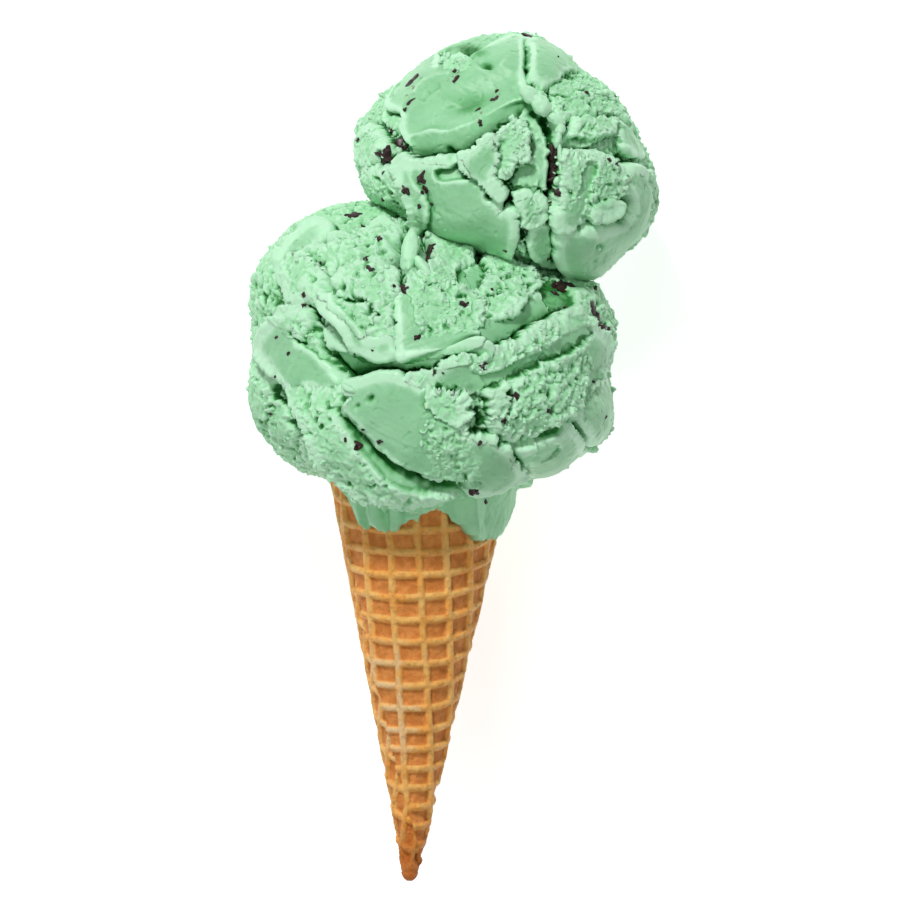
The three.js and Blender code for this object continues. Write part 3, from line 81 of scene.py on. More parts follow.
# The scoops. Places are from the scoop's centre, x to the right and y towards the top.
# A fold is a path with its raised side on the left: its rise, how far back the rise reaches, the
# depth of the groove at its foot and how ragged its edge is.
UPPER = {
    "centre": (14.3, 77, 36), "front": 37, "back": 37.2,
    "square_foot": 1.8, "foot_turn": math.radians(-110),
    "outline": [
        (38.3, -10.4), (37.2, -1.3), (33.5, 5.2), (31.2, 10.9), (26, 18.2), (18.8, 23.6), (12.7, 29.2),
        (6.3, 32.4), (-0.8, 32.9), (-7.8, 32.3), (-18.2, 28.6), (-28.3, 20.8), (-33.3, 16.9), (-39.5, 7.3),
        (-39.5, -1.3), (-36.9, -8.8), (-29.9, -14), (-24.7, -18.7), (-16.9, -22.1), (-7.8, -23.4),
        (2.6, -28.9), (14.4, -31), (22.6, -30.6), (29.8, -24), (35.2, -18.8)
    ],
    "plates": [
        # outline, rise, (direction it rises in, slope), dish or crown, ragged edge, smoothness
        # the lumps at the left
        ([(-38.8, 6.4), (-36.4, 8.2), (-33.7, 7.2), (-32, 5), (-31, 1.5), (-33, -0.6), (-35.6, -1.6),
         (-38.2, -0.4), (-39.6, 2.8)], 1.6, (170, 0.15), 0.5, 0.6, 0.35),
        ([(-36.5, -2.2), (-33, -2.6), (-29.4, -3.4), (-26.6, -7.5), (-24.6, -11), (-23.4, -15),
         (-26.5, -16.8), (-31.5, -13.4), (-36.2, -8)], 0.9, (150, 0.1), 0.6, 0.8, 0.1),
        # the smooth cap at the upper left, and the band that turns down under its lip
        ([(-19, 28), (-24.5, 24.2), (-29, 20), (-31.4, 15.6), (-31, 12.8), (-28.2, 12.2), (-27.4, 9.8),
         (-28.1, 7.2), (-27.1, 4.8), (-25.8, 3), (-26.2, 0.5), (-21.8, -1.2), (-13, -1.2), (-6, 3.2),
         (0.8, 8.4), (2.4, 10.8), (4.3, 14.3), (3.4, 17.5), (4.3, 21), (4.3, 25.5), (3.9, 30.4),
         (0.8, 31.9), (-2.5, 29.8), (-4.5, 28.6), (-8.8, 26.2), (-13, 24.6), (-18.2, 23.6), (-18.6, 25.6)],
         0.7, (100, 0.03), 0, 0.12, 0.97),
        ([(-25.8, 4.8), (-20.4, 6.9), (-16.4, 6.5), (-12.5, 7.7), (-7.2, 9.9), (-1.9, 12.5), (2.6, 14.4),
         (4.5, 14.3), (2.6, 10.6), (0.8, 8), (-3, 4), (-8, 1.2), (-13, -2), (-20, -2), (-26.4, 0)], -2.1,
         (110, 0.7), 1.5, 0, 0.93),
        # the hollow at the top, with its crumbly ledge
        ([(-17.5, 27.6), (-14, 31), (-8, 33.4), (-4.6, 32.8), (-2.2, 31.2), (-4.6, 29.4), (-8.9, 27.2),
         (-11.8, 27.4)], -3, (75, 0.5), 0, 0.3, 0.8),
        ([(-17.4, 24.9), (-14.6, 25.3), (-11.2, 24.6), (-9.6, 23.6), (-12, 22.4), (-17, 22.2)], 1,
         (-100, 0.1), 0.2, 0.6, 0.15),
        # the rounded right side, smooth at its top
        ([(4.5, 30.4), (8.5, 31.7), (13.9, 29.8), (18.3, 26), (25.5, 20.5), (30.4, 12.8), (33, 6),
         (26.6, 9), (15.9, 10), (11.8, 10), (10.6, 17.8), (6.3, 18.8), (4.4, 20.5)], 0.4, (0, 0), 0.3, 0.4,
         0.2),
        ([(4.5, 30.4), (8.5, 31.5), (14, 29.8), (18.4, 25.5), (22, 23.8), (25, 20.9), (23, 20), (19, 22),
         (14.5, 22.2), (12.4, 20.3), (9.2, 18.3), (6.5, 19), (4.6, 21)], 1.2, (0, 0), 0.5, 0.5, 0.88),
        # the fluted sheet, the facet under it and the big facet to its right
        ([(15.9, 10.3), (19.6, 10.4), (25.9, 9.3), (25.7, 5.8), (21.2, 4.2), (14.5, 2.6), (13, 4),
         (15.3, 6.4)], 1.9, (-70, 0.16), 0.3, 0.4, 0.35),
        ([(13, 4), (21.2, 5), (25.7, 6.2), (28, 3.4), (29, 1.3), (25.2, -0.3), (21.2, 0.6), (13.2, 1.2)],
         -0.6, (80, 0.35), 0, 0.3, 0.55),
        ([(25.4, 9.9), (28.1, 9), (31.3, 6.6), (34.6, 2.7), (34.4, 0.3), (31.8, 0.8), (28.8, 1.6),
         (27.4, 4.6)], 1.5, (200, 0.28), 0.2, 0.2, 0.95),
        # the smooth right side that runs down into the rounded foot
        ([(28.1, -2.9), (31.8, -2.1), (35.5, -4.8), (37.4, -8.5), (37.4, -12), (36.6, -15.9), (34.8, -19.8),
         (34.2, -22), (25, -30.5), (24.2, -34), (17.5, -34), (13.7, -29), (11.6, -25.9), (11.4, -21.2),
         (12.4, -19), (15.3, -18.3), (18.5, -17.6), (25.2, -17.4), (28.4, -17), (30.4, -13.6),
         (30.2, -10.4), (28.6, -8.4)], 1.8, (110, 0.04), 0.5, 0.2, 0.93),
        ([(36.9, -3), (39, -8), (38.2, -14), (37, -19), (35.2, -17), (35.6, -12), (35.2, -7.5), (34.6, -4)],
         1.4, (0, 0), 0.2, 0.6, 0.3),
        # between the two halves: a smooth strip, a curved hollow, a torn piece and what lies under them
        ([(4.6, 14.3), (7, 13), (9.6, 10), (10.2, 4), (10.1, -3), (9.9, -10), (6.7, -10), (5.6, -3),
         (4.6, 0), (3.4, 5), (2.6, 10)], -1, (0, 0), 0.4, 0.3, 0.85),
        ([(-1.5, -5.6), (1.9, -3.2), (6.1, -2), (7.2, -5), (6.4, -9.5), (2.5, -10.6), (0.4, -11.2),
         (-2, -8.5)], -1.6, (-55, 0.3), 0, 0.1, 0.97),
        ([(0.6, -9.7), (3.5, -8.9), (6.7, -9.4), (8.2, -10.5), (9.2, -13), (8.2, -16.5), (5.4, -18.3),
         (2.9, -16.8), (1.6, -13.5)], 1, (0, 0), 0.1, 0.9, 0.8),
        ([(6, -18.6), (11.2, -18.6), (11.4, -22), (11.6, -26), (12, -29), (7.6, -27.6), (5, -24)], -0.4,
         (200, 0.22), -0.4, 0.3, 0.85),
        # the block at the right
        ([(13, 0.7), (17, 1.2), (21.2, 0.9), (25.2, -0.5), (28.1, -2.9), (29.2, -5.3), (27.7, -8),
         (26.9, -11.1), (26.4, -12.9), (22.5, -14.8), (20.1, -15.2), (18.5, -16.9), (14.8, -18.3),
         (11.6, -18.3), (10.8, -15.3), (10.9, -11.4), (12, -8), (12.9, -4.5)], 2.5, (85, 0.05), 0.3, 0.7,
         0.12),
        ([(17.6, -2), (20.6, -1.6), (19.4, -8), (17.8, -13), (15.2, -17.6), (12, -18), (11.2, -14),
         (14.2, -13), (16.8, -8)], 2.3, (180, 0.12), 0, 0.6, 0.75),
        ([(19.8, -12.4), (23.6, -10.4), (26.6, -10.8), (26.4, -12.9), (22.5, -14.9), (19.9, -15.1)], 3.4,
         (-60, 0.1), 0.2, 0.3, 0.8),
        # the broad torn sheets at the lower left
        ([(-28.1, -1), (-23.3, -1.4), (-18, -0.3), (-12.9, -0.3), (-9.5, -5.1), (-4.7, -9.2), (-4.7, -10.9),
         (-3.1, -10.9), (-2.9, -14.1), (0.8, -13.3), (1.4, -15.7), (0.6, -22.9), (-1.6, -25.9), (-6, -22.7),
         (-11.4, -24.6), (-18, -23.5), (-22, -21.5), (-24.4, -18.4), (-23.4, -15.4), (-24.6, -11.5),
         (-26.4, -7.6), (-27.8, -4)], 2.3, (100, 0.03), -0.4, 0.35, 0.9),
        ([(-28.3, -1), (-24.8, -1.2), (-23.6, -6), (-20.6, -10), (-20.2, -15.2), (-22.4, -18.6),
         (-24.9, -18.4), (-23.6, -15), (-25, -10.4), (-27.8, -5)], 2.9, (0, 0.12), 0.2, 0.3, 0.8),
        ([(-18.4, -3.6), (-15, -3), (-13, -2), (-10.6, -3), (-9.6, -5.4), (-14, -5.8), (-17.8, -5.8)], 0.1,
         (-95, 0.45), 0, 0.1, 0.95),
        ([(-3.4, 5), (-1.3, 7.8), (0.8, 8.9), (3.2, 7.9), (4.6, 5.8), (4.6, 2.9), (3.8, -0.8), (1.5, -0.3),
         (0, -4.2), (-2.2, -5.5), (-3.9, -3.5), (-2.9, 0)], 2.7, (90, 0.12), 0, 0.7, 0.15),
        ([(-12.7, -0.3), (-9.5, 1.8), (-6.1, 4.2), (-3.4, 5), (-2.3, 3), (-3, 0.5), (-2.7, -1.4),
         (-3.5, -3), (-4.5, -4.6), (-2.9, -7), (-1.1, -9.1), (-3.1, -10.7), (-5.3, -8.5), (-9.5, -5.3),
         (-12.2, -2.6)], 3.5, (110, 0.05), 0.1, 0.45, 0.9),
    ],
    "floor": -1.6,
    "folds": [
        # the ridge over the crevice
        ([(14.5, 2.6), (18, 3.2), (21.2, 4.3), (25.5, 6.2)], 0.9, 2, 1.2, 0.1),
        ([(-9, 24.5), (-11.5, 25), (-14.5, 24.9), (-17.5, 24.4)], 0.8, 1.5, 0.8, 0.3),
    ],
    "grooves": [
        # a groove is a path, its depth and its width; where the depth is below 0 it is a ridge
        ([(-22, 9.4), (-18.6, 8), (-14, 8.4), (-7.8, 10.8), (-2.2, 13.4), (2.8, 15.6)], -0.7, 2.4),
        ([(-25, 15.6), (-22.4, 18.6), (-18.4, 20.6), (-14, 21.4)], -0.8, 1.6),
        ([(-23, 14), (-20.6, 16.6), (-17.4, 18.2)], 0.6, 1.3),
        ([(-27.6, 11), (-25.4, 14.6), (-24.4, 18.6)], 0.5, 1.4),
        ([(-13.6, 29.2), (-9.2, 28.4), (-4.8, 30.6)], 3, 1.1), ([(-3, 24), (1, 22), (2.8, 18)], -0.5, 2.2),
        ([(3.9, 30.5), (4.3, 26.5), (4.2, 22.5), (4.6, 18.5)], 3.6, 0.8),
        ([(8.5, 11.5), (10, 7), (10.5, 1.5)], 3, 0.9), ([(10.5, 1.5), (10.8, -5.5), (10.7, -14)], 4, 0.8),
        ([(13, 2), (17, 2.2), (21.2, 1.7), (25.4, -0.2), (28.4, -2.2)], 3.4, 0.9),
        ([(28.4, -2.2), (31, -1.4), (34.6, -2)], 1.6, 0.8),
        ([(-30.4, 8), (-29, 4), (-29, 0.5), (-29.4, -2.4)], 3, 1.1), ([(-28.6, 19.5), (-30.4, 15)], 1, 0.8),
        ([(-35.6, -1.9), (-32.6, -1.5), (-30.2, -2.8)], 1.8, 0.8),
        ([(-28.4, -3.5), (-26.6, -9), (-24.6, -13)], 2, 0.9),
        ([(-0.9, -9.9), (0.2, -12.4), (1.4, -11.6)], 3, 0.9),
        ([(1.8, -14.6), (2.2, -18), (3.4, -20.5)], 1.6, 0.8),
        ([(9.6, -9), (9.9, -13), (9.6, -18)], 2.6, 0.7), ([(11, -19), (11.3, -24), (11.5, -28)], 2.4, 0.7),
        ([(16, -18.2), (19.5, -16.6), (24, -15.8), (28.4, -15.8)], 3.4, 1),
        ([(28.8, -8.6), (29.2, -11.4), (28, -13.6)], 2.4, 0.9), ([(5, 12.5), (8, 9.6), (9.6, 5)], 1.6, 1.1),
    ],
    "mounds": [
        # place, half-length, half-width, tilt in degrees, rise
        (-10, 14.4, 12, 4, 22, -2.8), (7.4, 15.8, 4.6, 2.4, -45, 2), (-6, 23.4, 1.9, 0.9, -15, -2.4),
        (-22.5, -17.3, 1.3, 1.3, 0, 1.2), (11.8, 8.5, 1.3, 3.4, 12, 1.8), (12.5, 2, 0.6, 5.5, 3, 2),
        (11.8, -6.3, 0.9, 1.3, 0, 2.2), (3.4, -21.6, 1.5, 1.9, 0, -3.6), (15.2, 21, 3, 1, -5, -2.2),
        (-32, 12, 3.5, 5, 0, 0.9), (-16.6, 1.6, 0.9, 1.3, 30, -1.6), (-14.4, -0.2, 0.6, 1.2, 10, -1.8),
        (21.9, -22.2, 1.1, 1.1, 0, -1.4), (21.9, -22.4, 0.5, 0.6, 0, 1.8), (5.6, -13.5, 3, 2.5, 0, 0.5),
        (-5.6, -10, 0.7, 0.8, 0, -3.4), (30.4, 5.2, 2.6, 1, -40, 0.7), (26.6, 7, 0.7, 2.2, -10, -1.4),
    ],
    "flakes": [
        # place, length, width, tilt
        (10.8, -1.8, 9.2, 1.8, 90), (-32.5, 0, 6.5, 1.9, 52), (-28.8, 3.9, 3.6, 3, 60),
        (-30.6, 7, 2.2, 1.4, 30), (-23.3, -5.2, 4, 1.6, -60), (-22, -8.2, 2.4, 1.8, -50),
        (-25.2, 20.3, 4.4, 1.5, 55), (4.8, 32.2, 4.4, 2, -12), (-14, 20.2, 2.6, 1.8, 50),
        (-14.4, 22.4, 1.6, 1.1, 20), (-27, -8.8, 2.9, 2, -65), (12.2, -9.6, 2.6, 1.8, -50),
        (-25.6, 14.8, 3, 1.2, 45), (-27.2, 12.4, 1.4, 1, 60), (-3.9, 14.8, 2.1, 1.9, 0),
        (-3.4, 17, 1.4, 0.8, 30), (-7.8, 9, 2, 1.2, 90), (-8.6, 12, 1.8, 0.8, 20), (19.5, 16.9, 1.7, 1, 0),
        (27.3, 16.3, 1.3, 1, 0), (25.5, -0.8, 1.6, 1.1, -40), (27.4, -1.7, 1.4, 0.9, 0),
        (-23.4, -12.7, 1.5, 1.2, 0), (-39.6, 5, 1.6, 1.3, 0), (-20.4, -12.2, 1.2, 1, 0),
        (0, -31, 1.2, 0.9, 0), (-1.3, -24.2, 1.5, 0.6, 0), (9.6, -26.3, 1.8, 0.4, 5),
        (-32.8, -4, 1.3, 0.7, 60), (-30.4, -9.2, 1.2, 0.8, 20), (-33, -10.8, 1.2, 0.8, 20),
        (12.4, 26.3, 0.6, 0.6, 0), (10.2, -11.8, 1, 2.6, 0),
    ],
    "shades": [
        # place, half-length, half-width, tilt, how much painted shade it gets
        (-10.4, 28.2, 4.8, 2, -18, 1.2), (-16.4, 28.6, 2.4, 1, 35, 0.5), (-10, 14, 11, 5, -8, 0.24),
    ],
    "blobs": [
        # place, half-length, half-width, half-thickness, tilt, how high its middle lies
        (4.4, 15.4, 3, 2.1, 1.9, -45, 3.2), (7.4, 12.6, 3.4, 2.3, 2.1, -52, 3.3),
        (11.2, 9.2, 2.8, 1.4, 1.5, -30, 2.4), (12.3, 6.6, 1.8, 1.3, 1.3, 60, 2.3),
        (11.8, 4.4, 2.2, 1, 1.2, 80, 2.2), (12.3, 0.2, 4.6, 0.6, 0.9, 93, 1.7),
        (11.6, -6.2, 1.2, 0.9, 1, 80, 1.6), (-22.5, -17.6, 1.2, 1.1, 1, 0, 1.6),
        (34.9, -18.4, 1, 1.9, 1.2, 0, 0.2),
    ],
    "smears": [
        (-4, 15.6, 3.2, 1.4, 30), (-14.2, 20.8, 3.4, 2, 55), (-25.4, 17.5, 5.5, 1.8, 58),
        (-7.8, 10.6, 3, 1.2, 70), (-30.5, 3.5, 4.5, 2.6, 55), (-2.6, -19.6, 2, 0.7, -50),
        (-13.8, -13.1, 0.8, 0.6, 0), (-6.8, -13.9, 1.2, 0.5, 10), (-16.6, 28.4, 1.2, 0.5, 40),
        (-22.6, -6.4, 3.6, 1.6, -62), (11.8, -9.4, 2.6, 1.8, -50),
    ],
}

LOWER = {
    "centre": (-6, 21.8, 41), "front": 43, "back": 42.6,
    "square_foot": 0.8, "foot_turn": math.radians(-90),
    "outline": [
        (43.2, 22), (46.8, 14.8), (47.8, 8.8), (46, -0.8), (47.1, -9.4), (45.2, -17.2), (37.4, -22.4),
        (32, -26.5), (24.2, -28.1), (17, -31.5), (4, -33.5), (-12, -33), (-23.9, -28.1), (-34.8, -25),
        (-44.7, -15.3), (-47.6, -5.5), (-46.3, 5.7), (-47.1, 18.7), (-46, 26), (-39.5, 34.8), (-30.9, 41.1),
        (-21.3, 43.9), (-8.3, 43.4), (7.3, 35.4), (25.5, 29.6), (37.2, 26)
    ],
    "plates": [
        # the fluted left side: a smooth channel, a smooth ledge and a smooth slab above it
        ([(-39.6, 26.4), (-38.5, 29), (-36.7, 32), (-32.4, 36.2), (-26.8, 38.4), (-26, 36), (-29.6, 33.2),
         (-33.4, 29.6), (-36, 26.4), (-37, 23.5), (-39.6, 22.5)], 0.6, (135, 0.5), 0, 0.15, 0.95),
        ([(-26.8, 34.6), (-24.5, 35.4), (-21.5, 35), (-19, 33.9), (-18.9, 32.6), (-22, 32.6),
         (-25.5, 31.8)], 0.2, (100, 0.4), 0, 0.1, 0.95),
        ([(-18.9, 36.4), (-16.8, 36.9), (-12.7, 39), (-10, 37.3), (-12, 35.4), (-16.5, 34.6)], 0.8,
         (60, 0.25), 0, 0.2, 0.9),
        # the deep crumbly mass at the left, which the skirt stands over
        ([(-48.5, 3), (-44, 1.5), (-40.6, 0.9), (-37, -3), (-35.5, -7), (-33, -10.5), (-30, -13.5),
         (-26, -18), (-24, -24), (-24, -28), (-30, -29), (-36, -27), (-40, -23), (-45, -19), (-49, -12),
         (-49.5, -4)], -3.6, (190, 0.1), 0.4, 0.5, 0),
        ([(-48.5, 2.5), (-44.5, 1), (-42, -2), (-43, -6.5), (-40.8, -9.5), (-42.6, -12), (-46, -12),
         (-49, -8)], -0.6, (180, 0.1), 0.8, 0.5, 0.2),
        ([(-42, -9.6), (-39, -10), (-38.4, -13.5), (-36, -16.5), (-35, -21), (-38, -22), (-41.5, -18)],
         -1.4, (180, 0.15), 0.8, 0.6, 0.1),
        ([(-34.5, -17.5), (-32, -19), (-29, -20.5), (-26.5, -25), (-29, -28), (-35, -26)], -1.5, (180, 0.1),
         0.9, 0.7, 0),
        # the lump at the left: crumbly above, with its smooth facet
        ([(-38.8, 12), (-37.4, 14.6), (-35.1, 15.6), (-31.3, 14.4), (-28.5, 11.5), (-27, 8), (-26, 5),
         (-24.5, 1.5), (-22, -2.4), (-26, -4.4), (-29.8, -3.6), (-35.6, -3.4), (-38, -2.8), (-40.8, 0.7),
         (-44, 4.6), (-43.4, 7.5), (-41, 11)], 0.6, (160, 0.1), 0.5, 0.6, 0),
        ([(-38.8, 12), (-37.4, 14.6), (-35.1, 15.6), (-31.3, 14.4), (-30.6, 11.5), (-32.6, 8), (-35.5, 10)],
         2.3, (0, 0), 0.4, 0.8, 0.05),
        ([(-40.8, 0.7), (-44, 4.6), (-42.4, 8.5), (-39, 12.2), (-36.7, 13), (-35, 9.4), (-33, 6.4),
         (-30.4, 5), (-26, 1.1), (-22.3, -2.3), (-26, -4.4), (-29.8, -3.6), (-35.6, -3.4), (-38, -2.8)],
         1.7, (125, 0.14), 0.3, 0.35, 0.93),
        # the crumbly blocks above it
        ([(-33.7, 29.1), (-30.8, 31.7), (-26, 31.2), (-24.5, 32.8), (-21.8, 33.2), (-18.1, 33.2),
         (-16.8, 34.7), (-11.5, 36.4), (-8.8, 37.6), (-8.2, 35.2), (-9.8, 29.9), (-12.6, 28.6),
         (-18.1, 27.5), (-22.1, 25.8), (-23.6, 27), (-25.6, 25.2), (-28.2, 26.9)], 1.5, (100, 0.1), 0.3,
         0.8, 0.05),
        ([(-36.9, 24.6), (-35.6, 27.7), (-33.7, 29.3), (-31.3, 28.6), (-28.2, 27.4), (-26.8, 24.3),
         (-26.2, 22.2), (-26.3, 20), (-28.2, 18), (-31.4, 17), (-34.3, 16.6), (-37, 20.3)], 2.3, (120, 0.1),
         0.5, 0.9, 0.05),
        ([(-24.5, 22.7), (-23.4, 24.8), (-20.7, 26.7), (-18.1, 28.3), (-14.6, 28.3), (-10.1, 26.9),
         (-8.8, 24), (-8.6, 21.9), (-9.2, 19.3), (-9.2, 15.5), (-9.5, 9), (-14.6, 8.6), (-14.6, 11.3),
         (-13.3, 14.7), (-15.7, 17.9), (-19.9, 18.2), (-23.4, 19.5)], 1.8, (100, 0.05), 0.4, 0.8, 0),
        # the finger, with its smooth left edge
        ([(-27.2, 10.4), (-24.7, 12.1), (-22.3, 10.2), (-20.5, 7), (-19.4, 4.4), (-22.1, 5), (-24.5, 5.6),
         (-27, 7)], -0.5, (215, 0.3), 0, 0.4, 0.85),
        ([(-26.8, 18.7), (-25.2, 19.8), (-21.3, 18.6), (-17, 18.8), (-15, 17.9), (-13.4, 14.7),
         (-12.6, 13.4), (-14.4, 9), (-17.5, 8.6), (-21, 12), (-25, 16)], 2.1, (150, 0.05), 0, 0.7, 0.1),
        ([(-27.6, 16.6), (-26.9, 18.8), (-25.2, 19.6), (-23.9, 17.4), (-21.5, 14.6), (-18.3, 11.4),
         (-16.6, 9), (-16.2, 7.8), (-12.8, 7.8), (-9.7, 9.2), (-8.9, 4.2), (-14, 2.8), (-19.6, 4),
         (-20.7, 7.6), (-22, 10.2), (-24.7, 12.9), (-27.3, 15.3)], 2.4, (130, 0.1), 0.1, 0.2, 0.97),
        # the slab, smooth at its left and foot, and the crumbly places above
        ([(-9.2, 18.3), (-8.3, 20.2), (-5.6, 22.1), (-3, 23.6), (0.3, 26.3), (3.7, 27), (7, 25), (9.6, 21),
         (12.2, 15.7), (11.5, 11.5), (12, 8), (11.2, 6.4), (2.4, 4.4), (-5.6, 2.8), (-8.4, 3.2),
         (-8.7, 7.7), (-9.2, 13)], 1, (-90, 0.02), 0.1, 0.2, 0.95),
        ([(-6, 22), (-3, 23.8), (0.3, 26.5), (3.7, 27.2), (7, 25), (6.8, 21.4), (9.8, 19.2), (12.3, 15.7),
         (11.6, 11.5), (11.4, 9.6), (8, 9.8), (2, 8.8), (-2, 9.2), (-3.6, 13), (-5.3, 17.5)], 1.5,
         (90, 0.03), 0.2, 0.7, 0),
        ([(-1.2, 34.5), (4.6, 33.6), (9.4, 31.4), (9.8, 28.3), (7.5, 27), (3, 27), (0.6, 29), (0.2, 31)],
         1.5, (90, 0.1), 0.3, 0.8, 0.05),
        ([(6.1, 25), (9, 26.8), (13, 28.9), (15, 31), (15.2, 25.5), (13.2, 23), (12.6, 21), (9.5, 20.4),
         (7, 21.5)], -0.7, (-45, 0.15), 0, 0.3, 0.93),
        ([(12.6, 21), (14, 25), (14.3, 30.5), (18.3, 28.6), (24, 26), (26.6, 24), (26.2, 20.6),
         (23.6, 18.3), (21.8, 14.9), (18.3, 13.4), (15.1, 13.1), (12.2, 15.6), (10.6, 18.9)], 1.5,
         (100, 0.06), 0.3, 0.9, 0),
        # the smooth bowl, and the smooth trough under its bright ridge
        ([(11.9, 13.2), (15.1, 13.2), (18.3, 13.6), (21.4, 14.4), (23.4, 18.2), (26, 19.8), (28.6, 22.6),
         (33, 22), (34.6, 17), (33.6, 13.5), (29.6, 11), (25, 9.6), (21.1, 6), (17.9, 4.6), (14.6, 5.4),
         (12, 7.8), (11.5, 11)], -1.4, (130, 0.36), -0.5, 0.15, 1),
        ([(28, 22.6), (31, 24.5), (35, 23.6), (38, 20.5), (38, 16), (34, 15), (31.5, 17.5)], -3.4, (0, 0),
         0, 0.3, 0.7),
        ([(-26.6, 4.9), (-24, 5.3), (-19.2, 4.5), (-14, 2.6), (-10.6, 2.4), (-5.6, 3.3), (2.4, 5.3),
         (11.2, 7.7), (14.8, 5.9), (14.5, 4.2), (11.7, 2.6), (8.8, 2), (5.1, 1.2), (2.1, 0), (0.8, -2),
         (-2.9, -2), (-8.2, -2), (-13.5, -2.4), (-21.3, -3.6), (-23.3, -0.4), (-25.4, 2.6)], -1.4,
         (78, 0.6), 0.2, 0, 1),
        # the lobes at the lower right
        ([(40, -2.5), (45.8, -1.5), (48.4, -8.2), (47, -16.5), (42, -18.8), (38.2, -17.8), (34.3, -12.4),
         (37.5, -8.5)], 0.9, (0, 0), 0.8, 0.3, 0.85),
        ([(26.7, -15.3), (33.1, -13), (38.2, -18.6), (38.8, -22.9), (32.8, -27.6), (23, -31), (22.4, -25.5),
         (25.5, -20)], 1.6, (100, 0.12), 1, 0.25, 0.9),
        # the crumbly mass at the right, the smooth curve beside it and its front lobe
        ([(19.1, -1.9), (24.6, 1.5), (29.9, 4.4), (33.6, 5.7), (37.8, 8.4), (40.8, 9.7), (43.7, 8.6),
         (44.6, 6), (43.7, 2.6), (42.1, -0.1), (41, -3.5), (38.9, -7), (35.7, -9.3), (34.1, -12.3),
         (30, -14.4), (25.5, -17.1), (21.5, -17.6), (19.2, -17.8), (16.2, -17), (15, -15.2), (15.6, -12),
         (18.4, -9)], 2.3, (100, 0.05), 0.4, 0.8, 0.05),
        ([(35.5, 7.4), (40.8, 9.7), (43.9, 8.4), (44.6, 6), (43.4, 2), (41.9, -2), (39.7, -6.2), (37.4, -8),
         (37.6, -4), (39.1, 0), (38.5, 4)], 2.1, (90, 0.08), 0.4, 0.35, 0.9),
        ([(13, -5.2), (16, -3), (18.9, -2.4), (18.9, -5), (18.9, -9), (17.8, -13.3), (14.1, -13.5),
         (14.6, -11), (13.4, -8)], 2.8, (100, 0.1), 0.3, 0.6, 0.55),
        ([(19.1, -18.6), (22.6, -17.7), (28.6, -17.2), (31, -19), (27, -22.6), (22.2, -23.3),
         (19.5, -22.2)], 2.1, (100, 0.1), 0.3, 0.6, 0.5),
        # the long sheet over it, crumbly along its top and smooth below
        ([(21.1, 6.8), (23.3, 9.4), (25.1, 10.7), (28.8, 12.1), (30.9, 13.4), (34.7, 15.3), (38.4, 15.2),
         (40.4, 13.2), (41.2, 10.6), (38.9, 8.6), (37.6, 6.9), (33.6, 4.5), (29.9, 3.2), (28.3, 2.4),
         (24.6, 0.3), (18.9, -2.4), (15.7, -3.8), (12.5, -5.2), (9.4, -5.7), (5.9, -4.9), (2.5, -4.4),
         (-0.5, -4.1), (-6.8, -1.6), (-4.7, -0.9), (-1.8, -0.4), (0.9, -0.6), (1.7, 0.4), (2.5, 1.9),
         (5.1, 3), (8.6, 3.7), (13.9, 4.6), (16.7, 6.3)], 2.6, (105, 0.05), 0, 0.6, 0.1),
        ([(1.6, -0.5), (3, 1.9), (8, 1.6), (10.5, -0.6), (15, -0.4), (19, 1.5), (24, 3.8), (28.5, 5.9),
         (31, 8), (36, 10.4), (40.6, 11.8), (41.4, 10.5), (38.9, 8.4), (37.6, 6.7), (33.6, 4.3), (29.9, 3),
         (24.6, 0.1), (18.9, -2.6), (12.5, -5.4), (9.4, -5.9), (2.5, -4.6), (-0.5, -4.3), (-6, -1.8)], 1.9,
         (108, 0.3), 0, 0.3, 0.92),
        # the torn hollow beside the flap
        ([(7, -5.4), (9.4, -5.9), (12.7, -5.4), (14, -8), (14.6, -11), (14.4, -14), (15.4, -17), (11, -17),
         (7, -14), (6.4, -9)], -1, (-80, 0.18), 0, 0.3, 0.1),
        # the skirt over the cone's rim, and the smooth hollow band behind it
        ([(-38.2, -2.8), (-35.6, -3.5), (-29.5, -3.8), (-26, -4.8), (-25, -3.9), (-20.7, -5.4), (-19.9, -7),
         (-22.1, -8.5), (-20, -14), (-12, -20), (-4, -26), (6, -27), (11, -26.4), (6.5, -28.4),
         (1.9, -29.2), (-1.6, -30), (-5.7, -29.7), (-10.8, -29), (-15.5, -28.2), (-19, -25.6),
         (-22.4, -23.2), (-26, -21), (-27.9, -19), (-28.7, -16.3), (-32.4, -12.3), (-34.5, -9.4),
         (-36.7, -5.7)], 3.4, (-110, 0.42), 0.4, 0.5, 0.2),
        ([(-22.8, -10), (-19.4, -13.4), (-15.4, -17.4), (-12.7, -19.5), (-8.2, -22.4), (-3.4, -24.4),
         (0.9, -25.6), (7, -26.4), (11.4, -26.2), (8.6, -27.4), (4.6, -27.9), (-1.3, -28), (-5.5, -27),
         (-9.5, -25.2), (-12.9, -22.4), (-16.1, -19.2), (-19.4, -15.7), (-21.8, -12.8)], -0.6, (-118, 0.85),
         -0.6, 0.02, 1),
        # the big smooth flap, crumbly in its middle
        ([(-22.3, -3.4), (-18.1, -2), (-10.6, -0.4), (-8.4, -0.6), (-6.8, -2.2), (-4.4, -3.3), (-2.1, -4.4),
         (2.5, -4.5), (5.1, -5.4), (7.5, -7), (8.8, -9.1), (7.8, -11.3), (7.2, -12.9), (9, -15.4),
         (14.4, -16.3), (18.4, -18), (19.2, -19.9), (21, -23.2), (22.8, -25.4), (18.4, -27), (15.2, -28.6),
         (12, -29.4), (7, -28.6), (0.9, -27), (-3.4, -25.7), (-8.2, -23.3), (-12.7, -20.4), (-15.6, -18.1),
         (-19.6, -14.1), (-22, -11.5), (-22.8, -9.8), (-22, -8), (-20.1, -7), (-21.2, -4.9)], 3.2,
         (-70, 0.05), -0.5, 0.3, 0.95),
